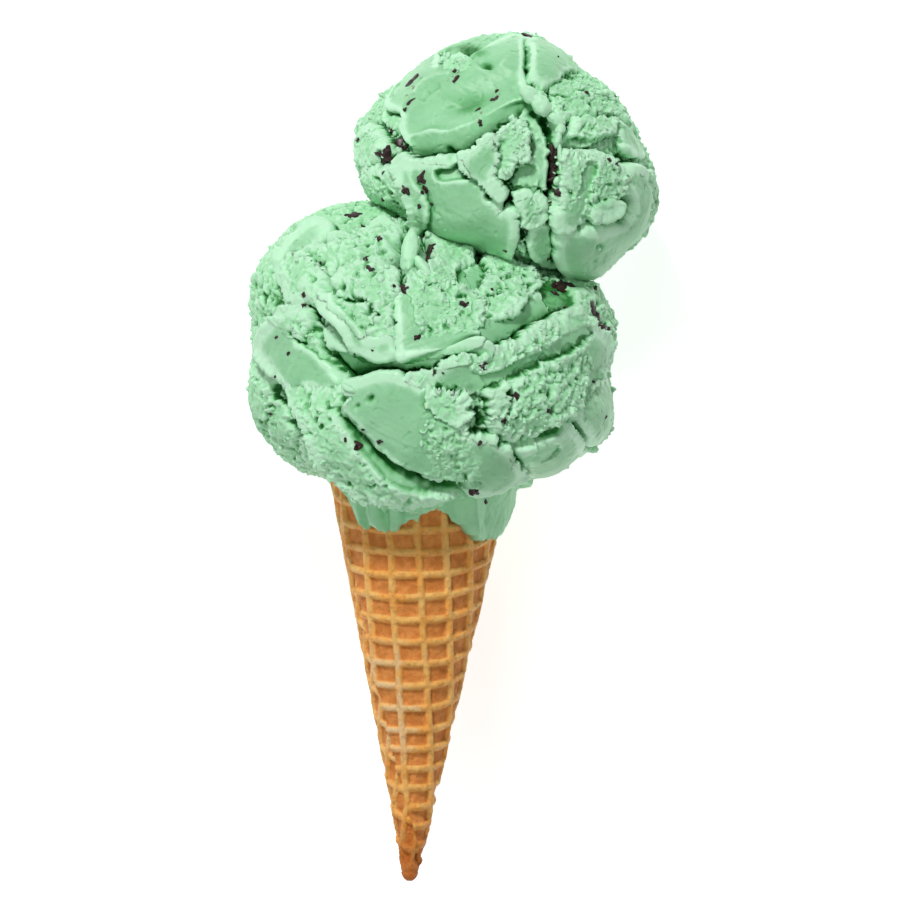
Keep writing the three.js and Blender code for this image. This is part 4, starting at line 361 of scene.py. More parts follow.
        ([(-1.8, -15.6), (1, -12.5), (7, -14.4), (10.8, -19.5), (11.4, -24), (7, -27.4), (1, -25.6),
         (-0.6, -20)], 3.2, (-70, 0.05), -0.4, 2, 0.25),
        ([(-2, -5.4), (2.5, -4.9), (7, -7), (8.6, -9.1), (7.4, -12), (3, -12), (-0.5, -9)], 3.3,
         (-70, 0.05), -0.2, 1.2, 0.45),
    ],
    "floor": -1.9,
    "folds": [
        # the left side's flutes, the bright ridge in the trough and the wrinkles of the long sheet's end
        ([(-26.8, 38.6), (-32.4, 36.2), (-36.7, 32), (-38.5, 28.8), (-39.6, 26.2)], 1.2, 3, 1, 0.15),
        ([(-10.6, 2.4), (-5.6, 3.4), (2.4, 5.5), (11.2, 7.9)], 1, 3.4, 0, 0),
        ([(-27.3, 15.3), (-24.7, 12.9), (-22, 10.2), (-20.7, 7.6), (-19.6, 4.6)], 0.8, 2.6, 0, 0),
        ([(-1.2, -1), (-3.2, -2.8), (-5.5, -2)], 0.6, 1.6, 0.6, 0),
    ],
    "grooves": [
        ([(-37.6, 30), (-35, 33.3), (-30.8, 36.9)], 1, 0.5),
        ([(-24.9, 23.5), (-25.6, 21), (-24.6, 18.8)], 3, 0.8),
        ([(-27.6, 15), (-29.6, 15.4), (-32, 15.2)], 2, 0.9),
        ([(-30.5, 12.4), (-28.6, 9), (-26.4, 4), (-24, 0.5), (-22, -2.5)], 2.6, 1.2),
        ([(-9.1, 19.6), (-9.4, 14), (-9, 8.5), (-8.6, 4.4)], 3.6, 0.5),
        ([(-23.6, 18.6), (-19.9, 17.6), (-15.7, 17.4)], 2.2, 0.6),
        ([(19, -2.4), (19.3, -7), (18.4, -11)], 3.2, 0.6),
        ([(10.9, -10), (12.6, -12), (13.4, -14.4)], 3.6, 1.2),
        ([(-40, -0.5), (-37.4, -5), (-34.8, -9.5), (-31.5, -13.6), (-28.4, -18.5), (-27.2, -23)], 2.6, 1.1),
        ([(-0.4, 33.4), (-0.2, 30), (-0.8, 26.6)], 4, 1), ([(-9, 34), (-8.8, 30), (-10, 28)], 3.4, 1.6),
        ([(-22.6, -9.8), (-18.6, -14.6), (-12.4, -20.6), (-5, -25.4), (3.4, -27.6), (10.8, -27.6)], 3.2,
         1.1),
        ([(15.2, -17), (19.5, -18.2), (25, -17.4), (31, -14.6), (35.5, -10.4)], 2.6, 0.9),
        ([(37, 16), (40.6, 13.2), (42, 10.8)], 2.6, 1.2), ([(35, -13), (38.6, -17), (38.5, -20)], 2.2, 0.9),
        ([(14.5, 31.5), (17, 29.6), (22, 27.4), (28, 25.6)], 2.8, 1.1),
    ],
    "mounds": [
        (7.4, 20.3, 1.1, 1.1, 0, 2), (-40.8, 19, 2.2, 4.4, 5, -3), (-6, 30.5, 1.5, 6, 8, 2),
        (-44, 28, 3, 5, 30, 0.8), (41, 20, 4, 5, 0, 1.2), (-30.5, 22, 2.4, 3, 0, 0.8),
        (-17.5, 24, 3.4, 2.6, 0, 0.7), (-10.6, 28, 1.8, 2.4, 0, -3), (22, 17, 3, 2.4, 0, 0.8),
        (30, -5, 4, 3, 30, 0.6), (-15, -6.8, 1.2, 0.7, 40, -1.4), (-18, -8.6, 0.8, 0.5, 40, -0.9),
        (24, 16.6, 0.8, 0.9, 0, -0.8),
    ],
    "flakes": [
        (41.6, 16.6, 4.6, 2.6, -60), (43, 12.2, 5.2, 2.8, -72), (46, 10.8, 2.2, 1.8, 0),
        (42.4, 21.6, 2, 1.6, 60), (-0.3, 30.2, 5.7, 2.2, 85), (34.6, 22, 5.2, 4, 0),
        (32, 20, 2.4, 1.2, -30), (-20.3, 40.4, 3.6, 3.6, 0), (-18, 37.4, 1.8, 1, 20),
        (-19, -19, 3, 2.6, 20), (-22.1, -17.7, 1.5, 1.2, 0), (-7.3, 21, 3, 1.8, 20),
        (-9.7, 21.9, 1.2, 0.9, 0), (10.9, -31.2, 3.2, 2.6, -45), (13.8, -33.8, 1.6, 1.2, -30),
        (-15.9, 26.2, 2.2, 2, 0), (-16.7, 28.9, 2, 1.4, 20), (-13.5, 34.3, 2.4, 1.3, -20),
        (8.3, 17.2, 2.6, 1.8, -15), (13.3, 1.3, 2.4, 1.6, 15), (21.6, -6.5, 2.4, 2, 0),
        (18.7, -12.5, 2.3, 1.7, 60), (29.9, -10.2, 1.8, 1.1, 0), (-32.8, 19.8, 1.8, 1.6, 90),
        (-33, 17.1, 2.2, 0.6, 0), (-3.6, 8.5, 2.3, 1.2, 12), (0.7, -0.2, 1.8, 1.2, 60),
        (2.9, -0.6, 0.9, 0.5, 0), (-13.3, -18.2, 2, 1.2, 0), (-17.6, -15, 1.2, 0.9, 0),
        (45, -11.7, 1.2, 0.9, 0), (34.4, 16.4, 1.5, 1.2, 0), (-36.8, 4.6, 1.4, 1, 40),
        (-39.9, 8.8, 1.3, 0.9, 0), (12.2, -18.6, 2.2, 0.7, 55), (-15.2, 5.2, 0.8, 0.7, 0),
        (-19.6, 4.3, 0.8, 0.6, 0), (-40.2, -1.4, 1.4, 0.9, 0), (-41.6, -10.8, 1.2, 0.8, 0),
        (-28.6, 27.8, 1.4, 0.6, 0), (15.5, 21, 1, 0.8, 0), (41.8, -2.6, 1.1, 0.8, 0),
    ],
    "shades": [
        # painted shade: place, half-length, half-width, tilt, how much painted shade it gets
        (37, 14.6, 4, 2, -60, 0.5), (30, 22.4, 4, 2, 10, 0.6), (-40, -11, 12, 6, 75, 0.25),
    ],
    "blobs": [
        (-5.6, 30.6, 6.2, 2.3, 2, 82, 0.7), (-2.2, 26.4, 3.8, 1.4, 1.6, 125, 0.9),
        (7.4, 20.3, 1.1, 1, 1.1, 0, 2), (-20.6, -4.4, 2.2, 1, 1.2, -30, 2.6),
    ],
    "smears": [
        (42.6, 14.6, 5.5, 2.4, -66), (0.6, 0.4, 1.2, 2, 0), (12.4, -18.4, 2.6, 0.9, 55),
        (-29.4, 28.2, 2.6, 1.2, 30), (-16.2, 27.6, 2.2, 1.6, 60), (12, -32.4, 3, 1.4, -45),
        (-31.6, 18.6, 2.6, 2, 0), (-19, -19, 3, 2.4, 20), (-36.6, 5, 1.6, 0.8, 60),
    ],
}

# The torn sheets that run down over the cone's rim, as in the solids. Bearings are degrees round the
# cone from the shown side. Each sheet has its thickness at its edge and at the rim, its roughness, where
# it swells (bearing, reach, rise), its folds (bearing at the rim and at the edge, rise, reach) and its
# drops (bearing, how far it runs past the rim there).
SHEETS = [
    {"thick": 2.1, "top": 2.6, "rough": 0.25, "swell": (-17, 30, 2.2),
     "folds": [(25, 38, 3.6, 12), (-36, -34, -2.2, 4), (-21, -19, -2.4, 4), (-9, -7, -2.0, 3.5)],
     "drops": [
        (-66, 2), (-58, 4), (-48, 7), (-45, 11), (-40, 15.6), (-21, 16.9), (-14, 16.4), (-8, 14.3), (0, 14.2),
        (3, 11.5), (8, 9.5), (14, 10.3), (22, 13.6), (33, 16.6), (41, 18.2), (66, 18.4), (84, 15), (100, 8),
        (125, 11), (160, 15), (185, 9), (215, 12), (240, 8), (250, 1.5), (290, 1.5)]},
    {"thick": 5.6, "top": 6.0, "rough": 0.6, "swell": (0, 1, 0),
     "folds": [(-30, -28, -1.4, 3), (-6, -8, -1.4, 3)],
     "drops": [
        (-54, 1), (-39, 2.4), (-33, 5.5), (-27, 9.5), (-18, 11.4), (1, 11.9), (12, 10.1), (25, 7.7), (34, 4),
        (60, 3), (90, 4), (130, 6), (170, 8), (210, 4), (250, 1.5), (296, 0.6)]},
]

# The cone and its waffle grid, as in the solids. RIM and TIP are measured along the axis from the apex,
# and the tip is rounded over BLUNT. BORE_END is how far the bore stops short of its own apex. The ice
# cream in the mouth reaches from PLUG_DEPTH under the rim to PLUG_TOP over it. The wafer's outer edge
# stands LAP over the turn below. The grid and the lap fade in from the tip over FADE_OVER, and the wafer
# bakes rough within BURNT of its point. ROW and COLUMN are the grid's pitches, RIDGE is a ridge's width.
APEX = (-12.0, -118.4)
AXIS_HEIGHT = 41.0
LEAN = math.radians(1.3)
HALF_ANGLE = math.radians(12)
RIM = 115.6
TIP = 7.8
BLUNT = 3.2
TIP_RINGS = (0.15, 0.6, 1.3, 2.2)
BORE_END = 3
FADE_FROM = 3.0
FADE_OVER = 4
PLUG_DEPTH = 25
PLUG_TOP = 3
PLUG_STEPS = 96
PLUG_RINGS = 12
WALL = 2.4
LAP = 1.3
LAP_BEARING = math.radians(-17.7)
LAP_OFFSET = 7.6
LAP_NEAREST = 12.0
ROW = 5.9
ROW_NEAR_TIP = 5.1
TIP_ROWS = 6
ROWS_BELOW = 5
FIRST_ROW = 17.6
GRID_MARGIN = 1.1
BURNT = 20
BURNT_FADE = 16
COLUMN = 7.5
COLUMN_SHIFT = 1.3
ROW_SLANT = math.radians(2.3)
COLUMN_SLANT = math.radians(5)
RIDGE = 2.4
CELL_DEPTH = 1.1
GAP = 0.3

# Relief and flakes on the scoops' backs
BACK_FOLDS = 7
BACK_PLATES = 3
BACK_FLAKES = 26
BACK_FLAKE_TURN = 2.4  # radians from one flake to the next

# Plates: the width over which an edge falls, how near the outline's plane the relief fades, the depth
# and reach of the crease along an edge, and how far the edge leans out over it
EDGE = 0.6
SIDE_FADE = 20.0
CREASE_DEPTH = 0.45
CREASE_REACH = 0.7
LEAN_OUT = 0.34
TUCK_IN = 0.2

# Folds and grooves: the share over which each end runs out, the width of the raised edge, the groove at
# its foot and the lip that leans over it
END_FADE = 0.12
FOLD_EDGE = 0.7
FOLD_FOOT = 1.3
LIP = 1.1

# Painted shade and highlight for the colours: how much a vertex's depth under its wide and near surroundings
# counts, from what depth a low floor gets painted shade, and the painted highlight given to blobs and crumbs
WIDE_DEPTH = 0.25
NEAR_DEPTH = 0.7
DEEP_FLOOR = 1.4
LUMP_PAINTED_HIGHLIGHT = -0.25
BLOB_SMOOTH = 0.45

# How far from the upper scoop's centre its hollow in the lower scoop can reach, and the radius of the
# ring on which the noise of the sheets' torn edges is drawn
PRESS_REACH = 46
TORN_RING = 24

# Flakes: the flat sides that a splinter is cut with, their thickness, how far they are sunk in, and the
# height over the floor under which none lies
SHARD_CUTS = 7
FLAKE_THICK = 0.9
FLAKE_SINK = 0.12
LOWEST_FLAKE = 3


# Small tools

def smoothstep(t):
    t = np.clip(t, 0, 1)
    return t * t * (3 - 2 * t)


def unit(v):
    return v / np.maximum(np.linalg.norm(v, axis=-1, keepdims=True), 1e-9)


def make_random(seed):
    """The same repeatable random numbers as the solids use."""
    state = seed

    def draw():
        nonlocal state
        state = (state * 16807) % 2147483647
        return state / 2147483647
    return draw


_table_random = np.random.default_rng(SEED)
SHUFFLE = np.tile(_table_random.permutation(256), 2)
SLOPES = unit(_table_random.normal(size=(256, 3))).astype(np.float32)


def noise(points, size, seed=0):
    """Smooth noise from about -1 to 1, with lumps of the given size."""
    spot = np.asarray(points, dtype=np.float32) / size + 13.7 * seed + 100.5
    cell = np.floor(spot).astype(np.int64)
    part = spot - cell
    fade = part ** 3 * (part * (part * 6 - 15) + 10)
    total = np.zeros(len(spot), dtype=np.float32)
    for corner in np.ndindex(2, 2, 2):
        at = (cell + corner) & 255
        key = SHUFFLE[SHUFFLE[SHUFFLE[at[:, 0]] + at[:, 1]] + at[:, 2]]
        slope = (SLOPES[key] * (part - np.array(corner, dtype=np.float32))).sum(1)
        weight = np.prod(np.where(corner, fade, 1 - fade), axis=1)
        total += weight * slope
    return 1.7 * total


def billow(points, size, seed=0):
    """Rounded lumps with sharp creases between them, about 0 on average."""
    return np.abs(noise(points, size, seed)) - 0.28


def granules(points, size, seed):
    """Round grains of uneven size packed side by side: 1 at a grain's top, 0 in the cracks between them."""
    spot = np.asarray(points, dtype=np.float32) / size + 7.3 * seed + 200.5
    cell = np.floor(spot).astype(np.int64)
    best = np.full(len(spot), 9.0, dtype=np.float32)
    for shift in np.ndindex(3, 3, 3):
        at = cell + np.array(shift) - 1
        key = SHUFFLE[SHUFFLE[SHUFFLE[at[:, 0] & 255] + (at[:, 1] & 255)] + (at[:, 2] & 255)]
        middle = at + 0.5 + 0.55 * SLOPES[key]
        swell = 0.75 + 0.5 * (key / 255).astype(np.float32)
        gap = (((spot - middle) ** 2).sum(1)) * swell
        best = np.minimum(best, gap)
    return np.sqrt(np.clip(1 - best / 0.72, 0, 1))


def smooth_curve(points, closed, steps):
    """A centripetal Catmull-Rom curve through the points."""
    pts = np.asarray(points, dtype=float)
    count = len(pts)
    out = []
    for i in range(count if closed else count - 1):
        if closed:
            p0, p1, p2, p3 = (pts[(i + k) % count] for k in (-1, 0, 1, 2))
        else:
            p1, p2 = pts[i], pts[i + 1]
            p0 = pts[i - 1] if i else 2 * p1 - p2
            p3 = pts[i + 2] if i + 2 < count else 2 * p2 - p1
        gaps = [max(1e-4, np.linalg.norm(b - a)) ** 0.5 for a, b in ((p0, p1), (p1, p2), (p2, p3))]
        knots = np.cumsum([0] + gaps)
        for t in np.linspace(knots[1], knots[2], steps, endpoint=False):
            a1 = (p0 * (knots[1] - t) + p1 * (t - knots[0])) / (knots[1] - knots[0])
            a2 = (p1 * (knots[2] - t) + p2 * (t - knots[1])) / (knots[2] - knots[1])
            a3 = (p2 * (knots[3] - t) + p3 * (t - knots[2])) / (knots[3] - knots[2])
            b1 = (a1 * (knots[2] - t) + a2 * (t - knots[0])) / (knots[2] - knots[0])
            b2 = (a2 * (knots[3] - t) + a3 * (t - knots[1])) / (knots[3] - knots[1])
            out.append((b1 * (knots[2] - t) + b2 * (t - knots[1])) / (knots[2] - knots[1]))
    if not closed:
        out.append(pts[-1])
    return np.array(out)


# The scoops' form

def outline_radius(scoop, turn):
    """How far the outline is from the scoop's centre at an angle in radians."""
    if "curve" not in scoop:
        curve = smooth_curve(scoop["outline"], True, 24)
        turns = np.arctan2(curve[:, 1], curve[:, 0]) % (2 * math.pi)
        order = np.argsort(turns)
        scoop["curve"] = (turns[order], np.linalg.norm(curve, axis=1)[order])
    return np.interp(np.asarray(turn) % (2 * math.pi), *scoop["curve"], period=2 * math.pi)


def squareness(scoop, turn):
    """The section's squareness: 2 is an ellipse, more is fuller towards the foot."""
    return 2 + scoop["square_foot"] * np.maximum(0, np.cos(turn - scoop["foot_turn"])) ** 2


def body_points(scoop, directions):
    """The smooth body in each direction from the scoop's centre."""
    turn = np.arctan2(directions[:, 1], directions[:, 0])
    across = np.hypot(directions[:, 0], directions[:, 1]) / outline_radius(scoop, turn)
    depth = np.abs(directions[:, 2]) / np.where(directions[:, 2] > 0, scoop["front"], scoop["back"])
    power = squareness(scoop, turn)
    return directions * ((across ** power + depth ** power) ** (-1 / power))[:, None]


def surface_point(scoop, x, y, side=1):
    """The point of the smooth body that is seen at x, y from the front, or from behind."""
    turn = math.atan2(y, x)
    share = min(0.985, math.hypot(x, y) / float(outline_radius(scoop, turn)))
    power = squareness(scoop, turn)
    depth = scoop["front"] if side > 0 else scoop["back"]
    return np.array([x, y, side * depth * (1 - share ** power) ** (1 / power)])


def lift_path(scoop, path, side=1):
    """A smooth line on the body over a path of x, y places."""
    return smooth_curve([surface_point(scoop, x, y, side) for x, y in path], False, 4)


def nearest(line, points, reach):
    """For the points within reach of a line: which they are, their distance, side, share along and left."""
    middle = line.mean(0)
    radius = np.linalg.norm(line - middle, axis=1).max() + reach
    picked = np.nonzero(((points - middle) ** 2).sum(1) < radius ** 2)[0]
    near = points[picked]
    best = np.full(len(near), np.inf)
    share = np.zeros(len(near))
    away = np.zeros_like(near)
    step = np.zeros_like(near)
    for i in range(len(line) - 1):
        along = line[i + 1] - line[i]
        t = np.clip((near - line[i]) @ along / (along @ along), 0, 1)
        gap = near - line[i] - t[:, None] * along
        size = (gap ** 2).sum(1)
        closer = size < best
        best[closer] = size[closer]
        share[closer] = (i + t[closer]) / (len(line) - 1)
        away[closer] = gap[closer]
        step[closer] = along
    left = unit(np.cross(unit(near), step))
    side = np.sign((left * away).sum(1))
    return picked, np.sqrt(best), side, share, left


def end_fade(share):
    """1 along a path, running out to 0 at its ends."""
    return smoothstep(share / END_FADE) * smoothstep((1 - share) / END_FADE)


def add_fold(scoop, fold, points, height, push):
    """Raises a fold's edge, cuts the groove at its foot and pushes the edge out over it."""
    path, rise, reach, groove, ragged = fold[:5]
    line = lift_path(scoop, path, fold[5] if len(fold) > 5 else 1)
    picked, distance, side, share, left = nearest(line, points, reach + 4)
    near = points[picked]
    fade = end_fade(share)
    across = distance * side + ragged * (1.1 * noise(near, 2.6, 3) + 0.6 * noise(near, 1.1, 4))
    raised = smoothstep((across + FOLD_EDGE / 2) / FOLD_EDGE)
    uneven = 1 + 0.35 * noise(near, 6, 5)
    up = rise * uneven * raised * (1 - smoothstep(across / reach))
    down = groove * uneven * (1 - raised) * np.exp(-(across / FOLD_FOOT) ** 2)
    height[picked] += fade * (up - down)
    lip = np.exp(-(across / LIP) ** 2) * fade
    push[picked] += left * (lip * (0.45 * groove * (1 - raised) - 0.4 * abs(rise) * raised))[:, None]


def add_groove(scoop, groove, points, height):
    """Cuts a groove along its path, or raises a ridge where its depth is below 0."""
    path, depth, width = groove
    picked, distance, _, share, _ = nearest(lift_path(scoop, path), points, 4 * width)
    wavy = distance + 0.35 * width * noise(points[picked], 2.2, 6)
    height[picked] -= end_fade(share) * depth * np.exp(-(wavy / width) ** 2)


def patch_coordinates(scoop, place, half_long, half_wide, tilt, points, side=1):
    """Where each point lies in a patch: along and across it as shares of its half sizes, and off it."""
    away = points - surface_point(scoop, *place, side)
    c, s = math.cos(math.radians(tilt)), math.sin(math.radians(tilt))
    along = (away[:, 0] * c + away[:, 1] * s) / half_long
    across = (away[:, 1] * c - away[:, 0] * s) / half_wide
    off = away[:, 2] / max(half_long, half_wide)
    return along, across, off


def inside_outline(outline, spots):
    """The distance inside an outline, negative outside, and the direction out through its nearest edge."""
    best = np.full(len(spots), np.inf)
    away = np.zeros_like(spots)
    within = np.zeros(len(spots), dtype=bool)
    for start, end in zip(outline, np.roll(outline, -1, axis=0)):
        along = end - start
        gap = spots - start
        gap = gap - np.clip(gap @ along / (along @ along), 0, 1)[:, None] * along
        size = (gap ** 2).sum(1)
        closer = size < best
        best[closer] = size[closer]
        away[closer] = gap[closer]
        spans = (start[1] > spots[:, 1]) != (end[1] > spots[:, 1])
        if start[1] != end[1]:
            crossing = start[0] + (spots[:, 1] - start[1]) * along[0] / along[1]
            within ^= spans & (spots[:, 0] < crossing)
    distance = np.sqrt(best) * np.where(within, 1, -1)
    return distance, unit(away) * np.where(within, -1, 1)[:, None]


def plate_share(plate, points):
    """The points that a plate can touch, how much of each it holds, and what its edge is like there."""
    outline = np.array(plate[0])
    ragged = plate[4]
    side = plate[6] if len(plate) > 6 else 1
    low, high = outline.min(0) - 3, outline.max(0) + 3
    near = (points[:, :2] > low).all(1) & (points[:, :2] < high).all(1)
    picked = np.nonzero((points[:, 2] * side > 0) & near)[0]
    near = points[picked]
    distance, out = inside_outline(smooth_curve(outline, True, 3), near[:, :2])
    wander = noise(near, 2.8, 3) + 0.7 * noise(near, 1.2, 4) + 0.35 * noise(near, 0.55, 5)
    distance = distance + (0.04 + ragged) * wander
    return picked, smoothstep(distance / EDGE + 0.5), distance, out


def add_plate(plate, number, points, form):
    """Lays a plate over what is below it, with a clear edge that stands out over a crease."""
    outline, rise, (direction, slope), crown = plate[:4]
    picked, share, distance, out = plate_share(plate, points)
    near = points[picked]
    facing = smoothstep(np.abs(near[:, 2]) / SIDE_FADE)
    middle = (np.min(outline, axis=0) + np.max(outline, axis=0)) / 2
    half = max(1.0, float(np.ptp(outline, axis=0).mean()) / 2)
    away = near[:, :2] - middle
    turn = math.radians(direction)
    along = away[:, 0] * math.cos(turn) + away[:, 1] * math.sin(turn)
    round_off = 1 - ((away / half) ** 2).sum(1).clip(0, 1.5)
    top = rise + slope * along + crown * round_off + 0.3 * noise(near, 7, 7)
    step = facing * top - form["height"][picked]
    stands = np.clip(step, 0, 3)
    crease = CREASE_DEPTH * stands * np.exp(-((distance + CREASE_REACH) / CREASE_REACH) ** 2)
    form["height"][picked] += share * step - crease
    outside = smoothstep(-distance / EDGE)
    edge = np.exp(-(distance / 0.8) ** 2) * stands
    form["push"][picked, :2] += out * (edge * (LEAN_OUT * (1 - outside) - TUCK_IN * outside))[:, None]
    form["smooth"][picked] += share * (plate[5] - form["smooth"][picked])
    scrape = math.radians(direction + 75 + 40 * math.sin(5 * number))
    across = near[:, 1] * math.cos(scrape) - near[:, 0] * math.sin(scrape) + 0.4 * noise(near, 9, 12)
    down = near[:, 0] * math.cos(scrape) + near[:, 1] * math.sin(scrape)
    streak = np.stack([across, 0.04 * down, np.full(len(near), 3.0 * number)], axis=1)
    lines = 0.6 * noise(streak, 0.9, 10) + 0.4 * noise(streak, 2.4, 11)
    form["lines"][picked] += share * (lines - form["lines"][picked])


def ring_outline(draw, place, size, corners):
    """An uneven closed outline round a place."""
    ring = []
    for i in range(corners):
        turn = (i + 0.7 * draw()) / corners * 2 * math.pi
        reach = size * (0.6 + 0.7 * draw())
        ring.append((place[0] + 1.2 * reach * math.cos(turn), place[1] + reach * math.sin(turn)))
    return ring


def back_relief(scoop, seed):
    """Folds, mounds and plates for the back, by the same seeded rule as in the solids."""
    draw = make_random(seed)
    folds, mounds, plates = [], [], []
    for i in range(BACK_FOLDS):
        turn = i / BACK_FOLDS * 2 * math.pi + draw()
        radius = float(outline_radius(scoop, turn)) * (0.35 + 0.45 * draw())
        start = (radius * math.cos(turn), radius * math.sin(turn))
        heading = turn + math.pi / 2 + draw() - 0.5
        path = [(start[0] + length * math.cos(heading + length / 30),
                 start[1] + length * math.sin(heading + length / 30)) for length in (0, 8, 16)]
        folds.append((path, 1.6, 8, 1.6, 0.6, -1))
        lump = (0.7 * radius * math.cos(turn + 0.5), 0.7 * radius * math.sin(turn + 0.5))
        tilt = 90 * draw()
        mounds.append((*lump, 5, 7, tilt, 2 * draw() - 0.6, -1))
    for i in range(BACK_PLATES):
        turn = i / BACK_PLATES * 2 * math.pi + 0.5 * draw()
        radius = float(outline_radius(scoop, turn)) * (0.45 + 0.3 * draw())
        place = (radius * math.cos(turn), radius * math.sin(turn))
        outline = ring_outline(draw, place, 9 + 5 * draw(), 8)
        plates.append((outline, 0.6 + 2 * draw(), (360 * draw(), 0.08), 0.4 * draw(), 0.3 + 0.6 * draw(),
                       float(draw() > 0.5) * 0.9, -1))
    return folds, mounds, plates


def scoop_form(scoop, directions):
    """The scoop's surface in each direction, from its centre, with its plates, folds, crags and crumbs."""
    body = body_points(scoop, directions)
    behind = smoothstep((noise(body, 15, 12) - 0.1) / 0.15) * smoothstep((2 - body[:, 2]) / 8)
    form = {
        "height": scoop["floor"] * smoothstep(np.abs(body[:, 2]) / SIDE_FADE),
        "push": np.zeros_like(body),
        "smooth": behind,
        "lines": np.zeros(len(body)),
    }
    for number, plate in enumerate(scoop["plates"] + scoop["behind"][2]):
        add_plate(plate, number, body, form)
    height = form["height"]
    for fold in scoop["folds"] + scoop["behind"][0]:
        add_fold(scoop, fold, body, height, form["push"])
    for groove in scoop["grooves"]:
        add_groove(scoop, groove, body, height)
    for x, y, half_long, half_wide, tilt, rise, *side in scoop["mounds"] + scoop["behind"][1]:
        u, v, w = patch_coordinates(scoop, (x, y), half_long, half_wide, tilt, body, *side)
        height += rise * np.exp(-(u * u + v * v + w * w))
    rough = 1 - form["smooth"]
    warped = body + np.stack([noise(body, 2.2, k) for k in (20, 21, 22)], axis=1)
    patchy = np.clip(0.75 + 0.8 * noise(body, 8, 19), 0.25, 1.5)
    crumb = billow(warped, 4.2, 14) + 0.7 * billow(warped, 2.1, 15) - 0.3 * billow(warped, 0.8, 26)
    crumb += 0.6 * (granules(warped, 1.7, 1) - 0.6) + 0.4 * (granules(body, 1.0, 2) - 0.6)
    pits = np.clip(noise(warped, 2.3, 23) - 0.25, 0, 1)
    scars = np.clip(noise(warped, 1.6, 24) - 0.5, 0, 1)
    height += 0.5 * billow(body, 11, 13) + (0.03 + 1.3 * rough * patchy) * crumb
    height -= 3.4 * rough * patchy * pits + 0.8 * (1 - rough) * scars
    lift = smoothstep((body[:, 2] + scoop["centre"][2]) / 4)
    points = body + directions * (height * lift)[:, None] + form["push"] * lift[:, None]
    points[:, 2] = np.maximum(points[:, 2], -scoop["centre"][2])
    form["points"] = points
    return form


# Meshes

def new_object(name, points, faces, smooth=True):
    """A mesh object from points in millimetres."""
    mesh = bpy.data.meshes.new(name)
    faces = np.asarray(faces, dtype=np.int32)
    mesh.vertices.add(len(points))
    mesh.vertices.foreach_set("co", (np.asarray(points) * MM).astype(np.float32).ravel())
    corners = faces.shape[1]
    mesh.loops.add(faces.size)
    mesh.loops.foreach_set("vertex_index", faces.ravel())
    mesh.polygons.add(len(faces))
    mesh.polygons.foreach_set("loop_start", np.arange(0, faces.size, corners, dtype=np.int32))
    mesh.update(calc_edges=True)
    mesh.validate()
    mesh.polygons.foreach_set("use_smooth", np.full(len(mesh.polygons), smooth))
    piece = bpy.data.objects.new(name, mesh)
    bpy.context.scene.collection.objects.link(piece)
    return piece


def mesh_points(mesh):
    points = np.empty(3 * len(mesh.vertices), dtype=np.float32)
    mesh.vertices.foreach_get("co", points)
    return points.reshape(-1, 3).astype(float) / MM


def icosphere(levels):
    """Directions and triangles of a finely divided icosahedron."""
    golden = (1 + 5 ** 0.5) / 2
    points = unit(np.array([
        (-1, golden, 0), (1, golden, 0), (-1, -golden, 0), (1, -golden, 0),
        (0, -1, golden), (0, 1, golden), (0, -1, -golden), (0, 1, -golden),
        (golden, 0, -1), (golden, 0, 1), (-golden, 0, -1), (-golden, 0, 1)]))
    faces = np.array([
        (0, 11, 5), (0, 5, 1), (0, 1, 7), (0, 7, 10), (0, 10, 11), (1, 5, 9), (5, 11, 4), (11, 10, 2),
        (10, 7, 6), (7, 1, 8), (3, 9, 4), (3, 4, 2), (3, 2, 6), (3, 6, 8), (3, 8, 9), (4, 9, 5), (2, 4, 11),
        (6, 2, 10), (8, 6, 7), (9, 8, 1)])
    for _ in range(levels):
        edges = np.sort(np.concatenate([faces[:, [0, 1]], faces[:, [1, 2]], faces[:, [2, 0]]]), axis=1)
        unique, number = np.unique(edges, axis=0, return_inverse=True)
        number = number.ravel() + len(points)
        ab, bc, ca = np.split(number, 3)
        points = np.concatenate([points, unit(points[unique[:, 0]] + points[unique[:, 1]])])
        a, b, c = faces.T
        quarters = ((a, ab, ca), (b, bc, ab), (c, ca, bc), (ab, bc, ca))
        faces = np.concatenate([np.stack(quarter, axis=1) for quarter in quarters])
    return points, faces


def joined(name, parts, smooth=True):
    """One object from closed parts that overlap."""
    offset, all_points, all_faces = 0, [], []
    for points, faces in parts:
        all_points.append(points)
        all_faces.append(np.asarray(faces) + offset)
        offset += len(points)
    return new_object(name, np.concatenate(all_points), np.concatenate(all_faces), smooth)


def set_points(mesh, points):
    mesh.vertices.foreach_set("co", (points * MM).astype(np.float32).ravel())
    mesh.update()


def set_mask(mesh, name, values):
    mesh.attributes.new(name, "FLOAT", "POINT").data.foreach_set("value", values.astype(np.float32))


# The cone's coordinates: along the axis from the apex, round it from the shown side, and out

def cone_radius(along):
    return along * math.tan(HALF_ANGLE)


def bearing_gap(turn, bearing):
    """How many degrees round the cone a place is from a bearing."""
    return np.degrees(turn + math.pi) % 360 - 180 - bearing


def cone_points(along, turn, radius):
    across = radius * np.sin(turn)
    return np.stack([
        APEX[0] + along * math.sin(LEAN) + across * math.cos(LEAN),
        APEX[1] + along * math.cos(LEAN) - across * math.sin(LEAN),
        AXIS_HEIGHT + radius * np.cos(turn)], axis=-1)


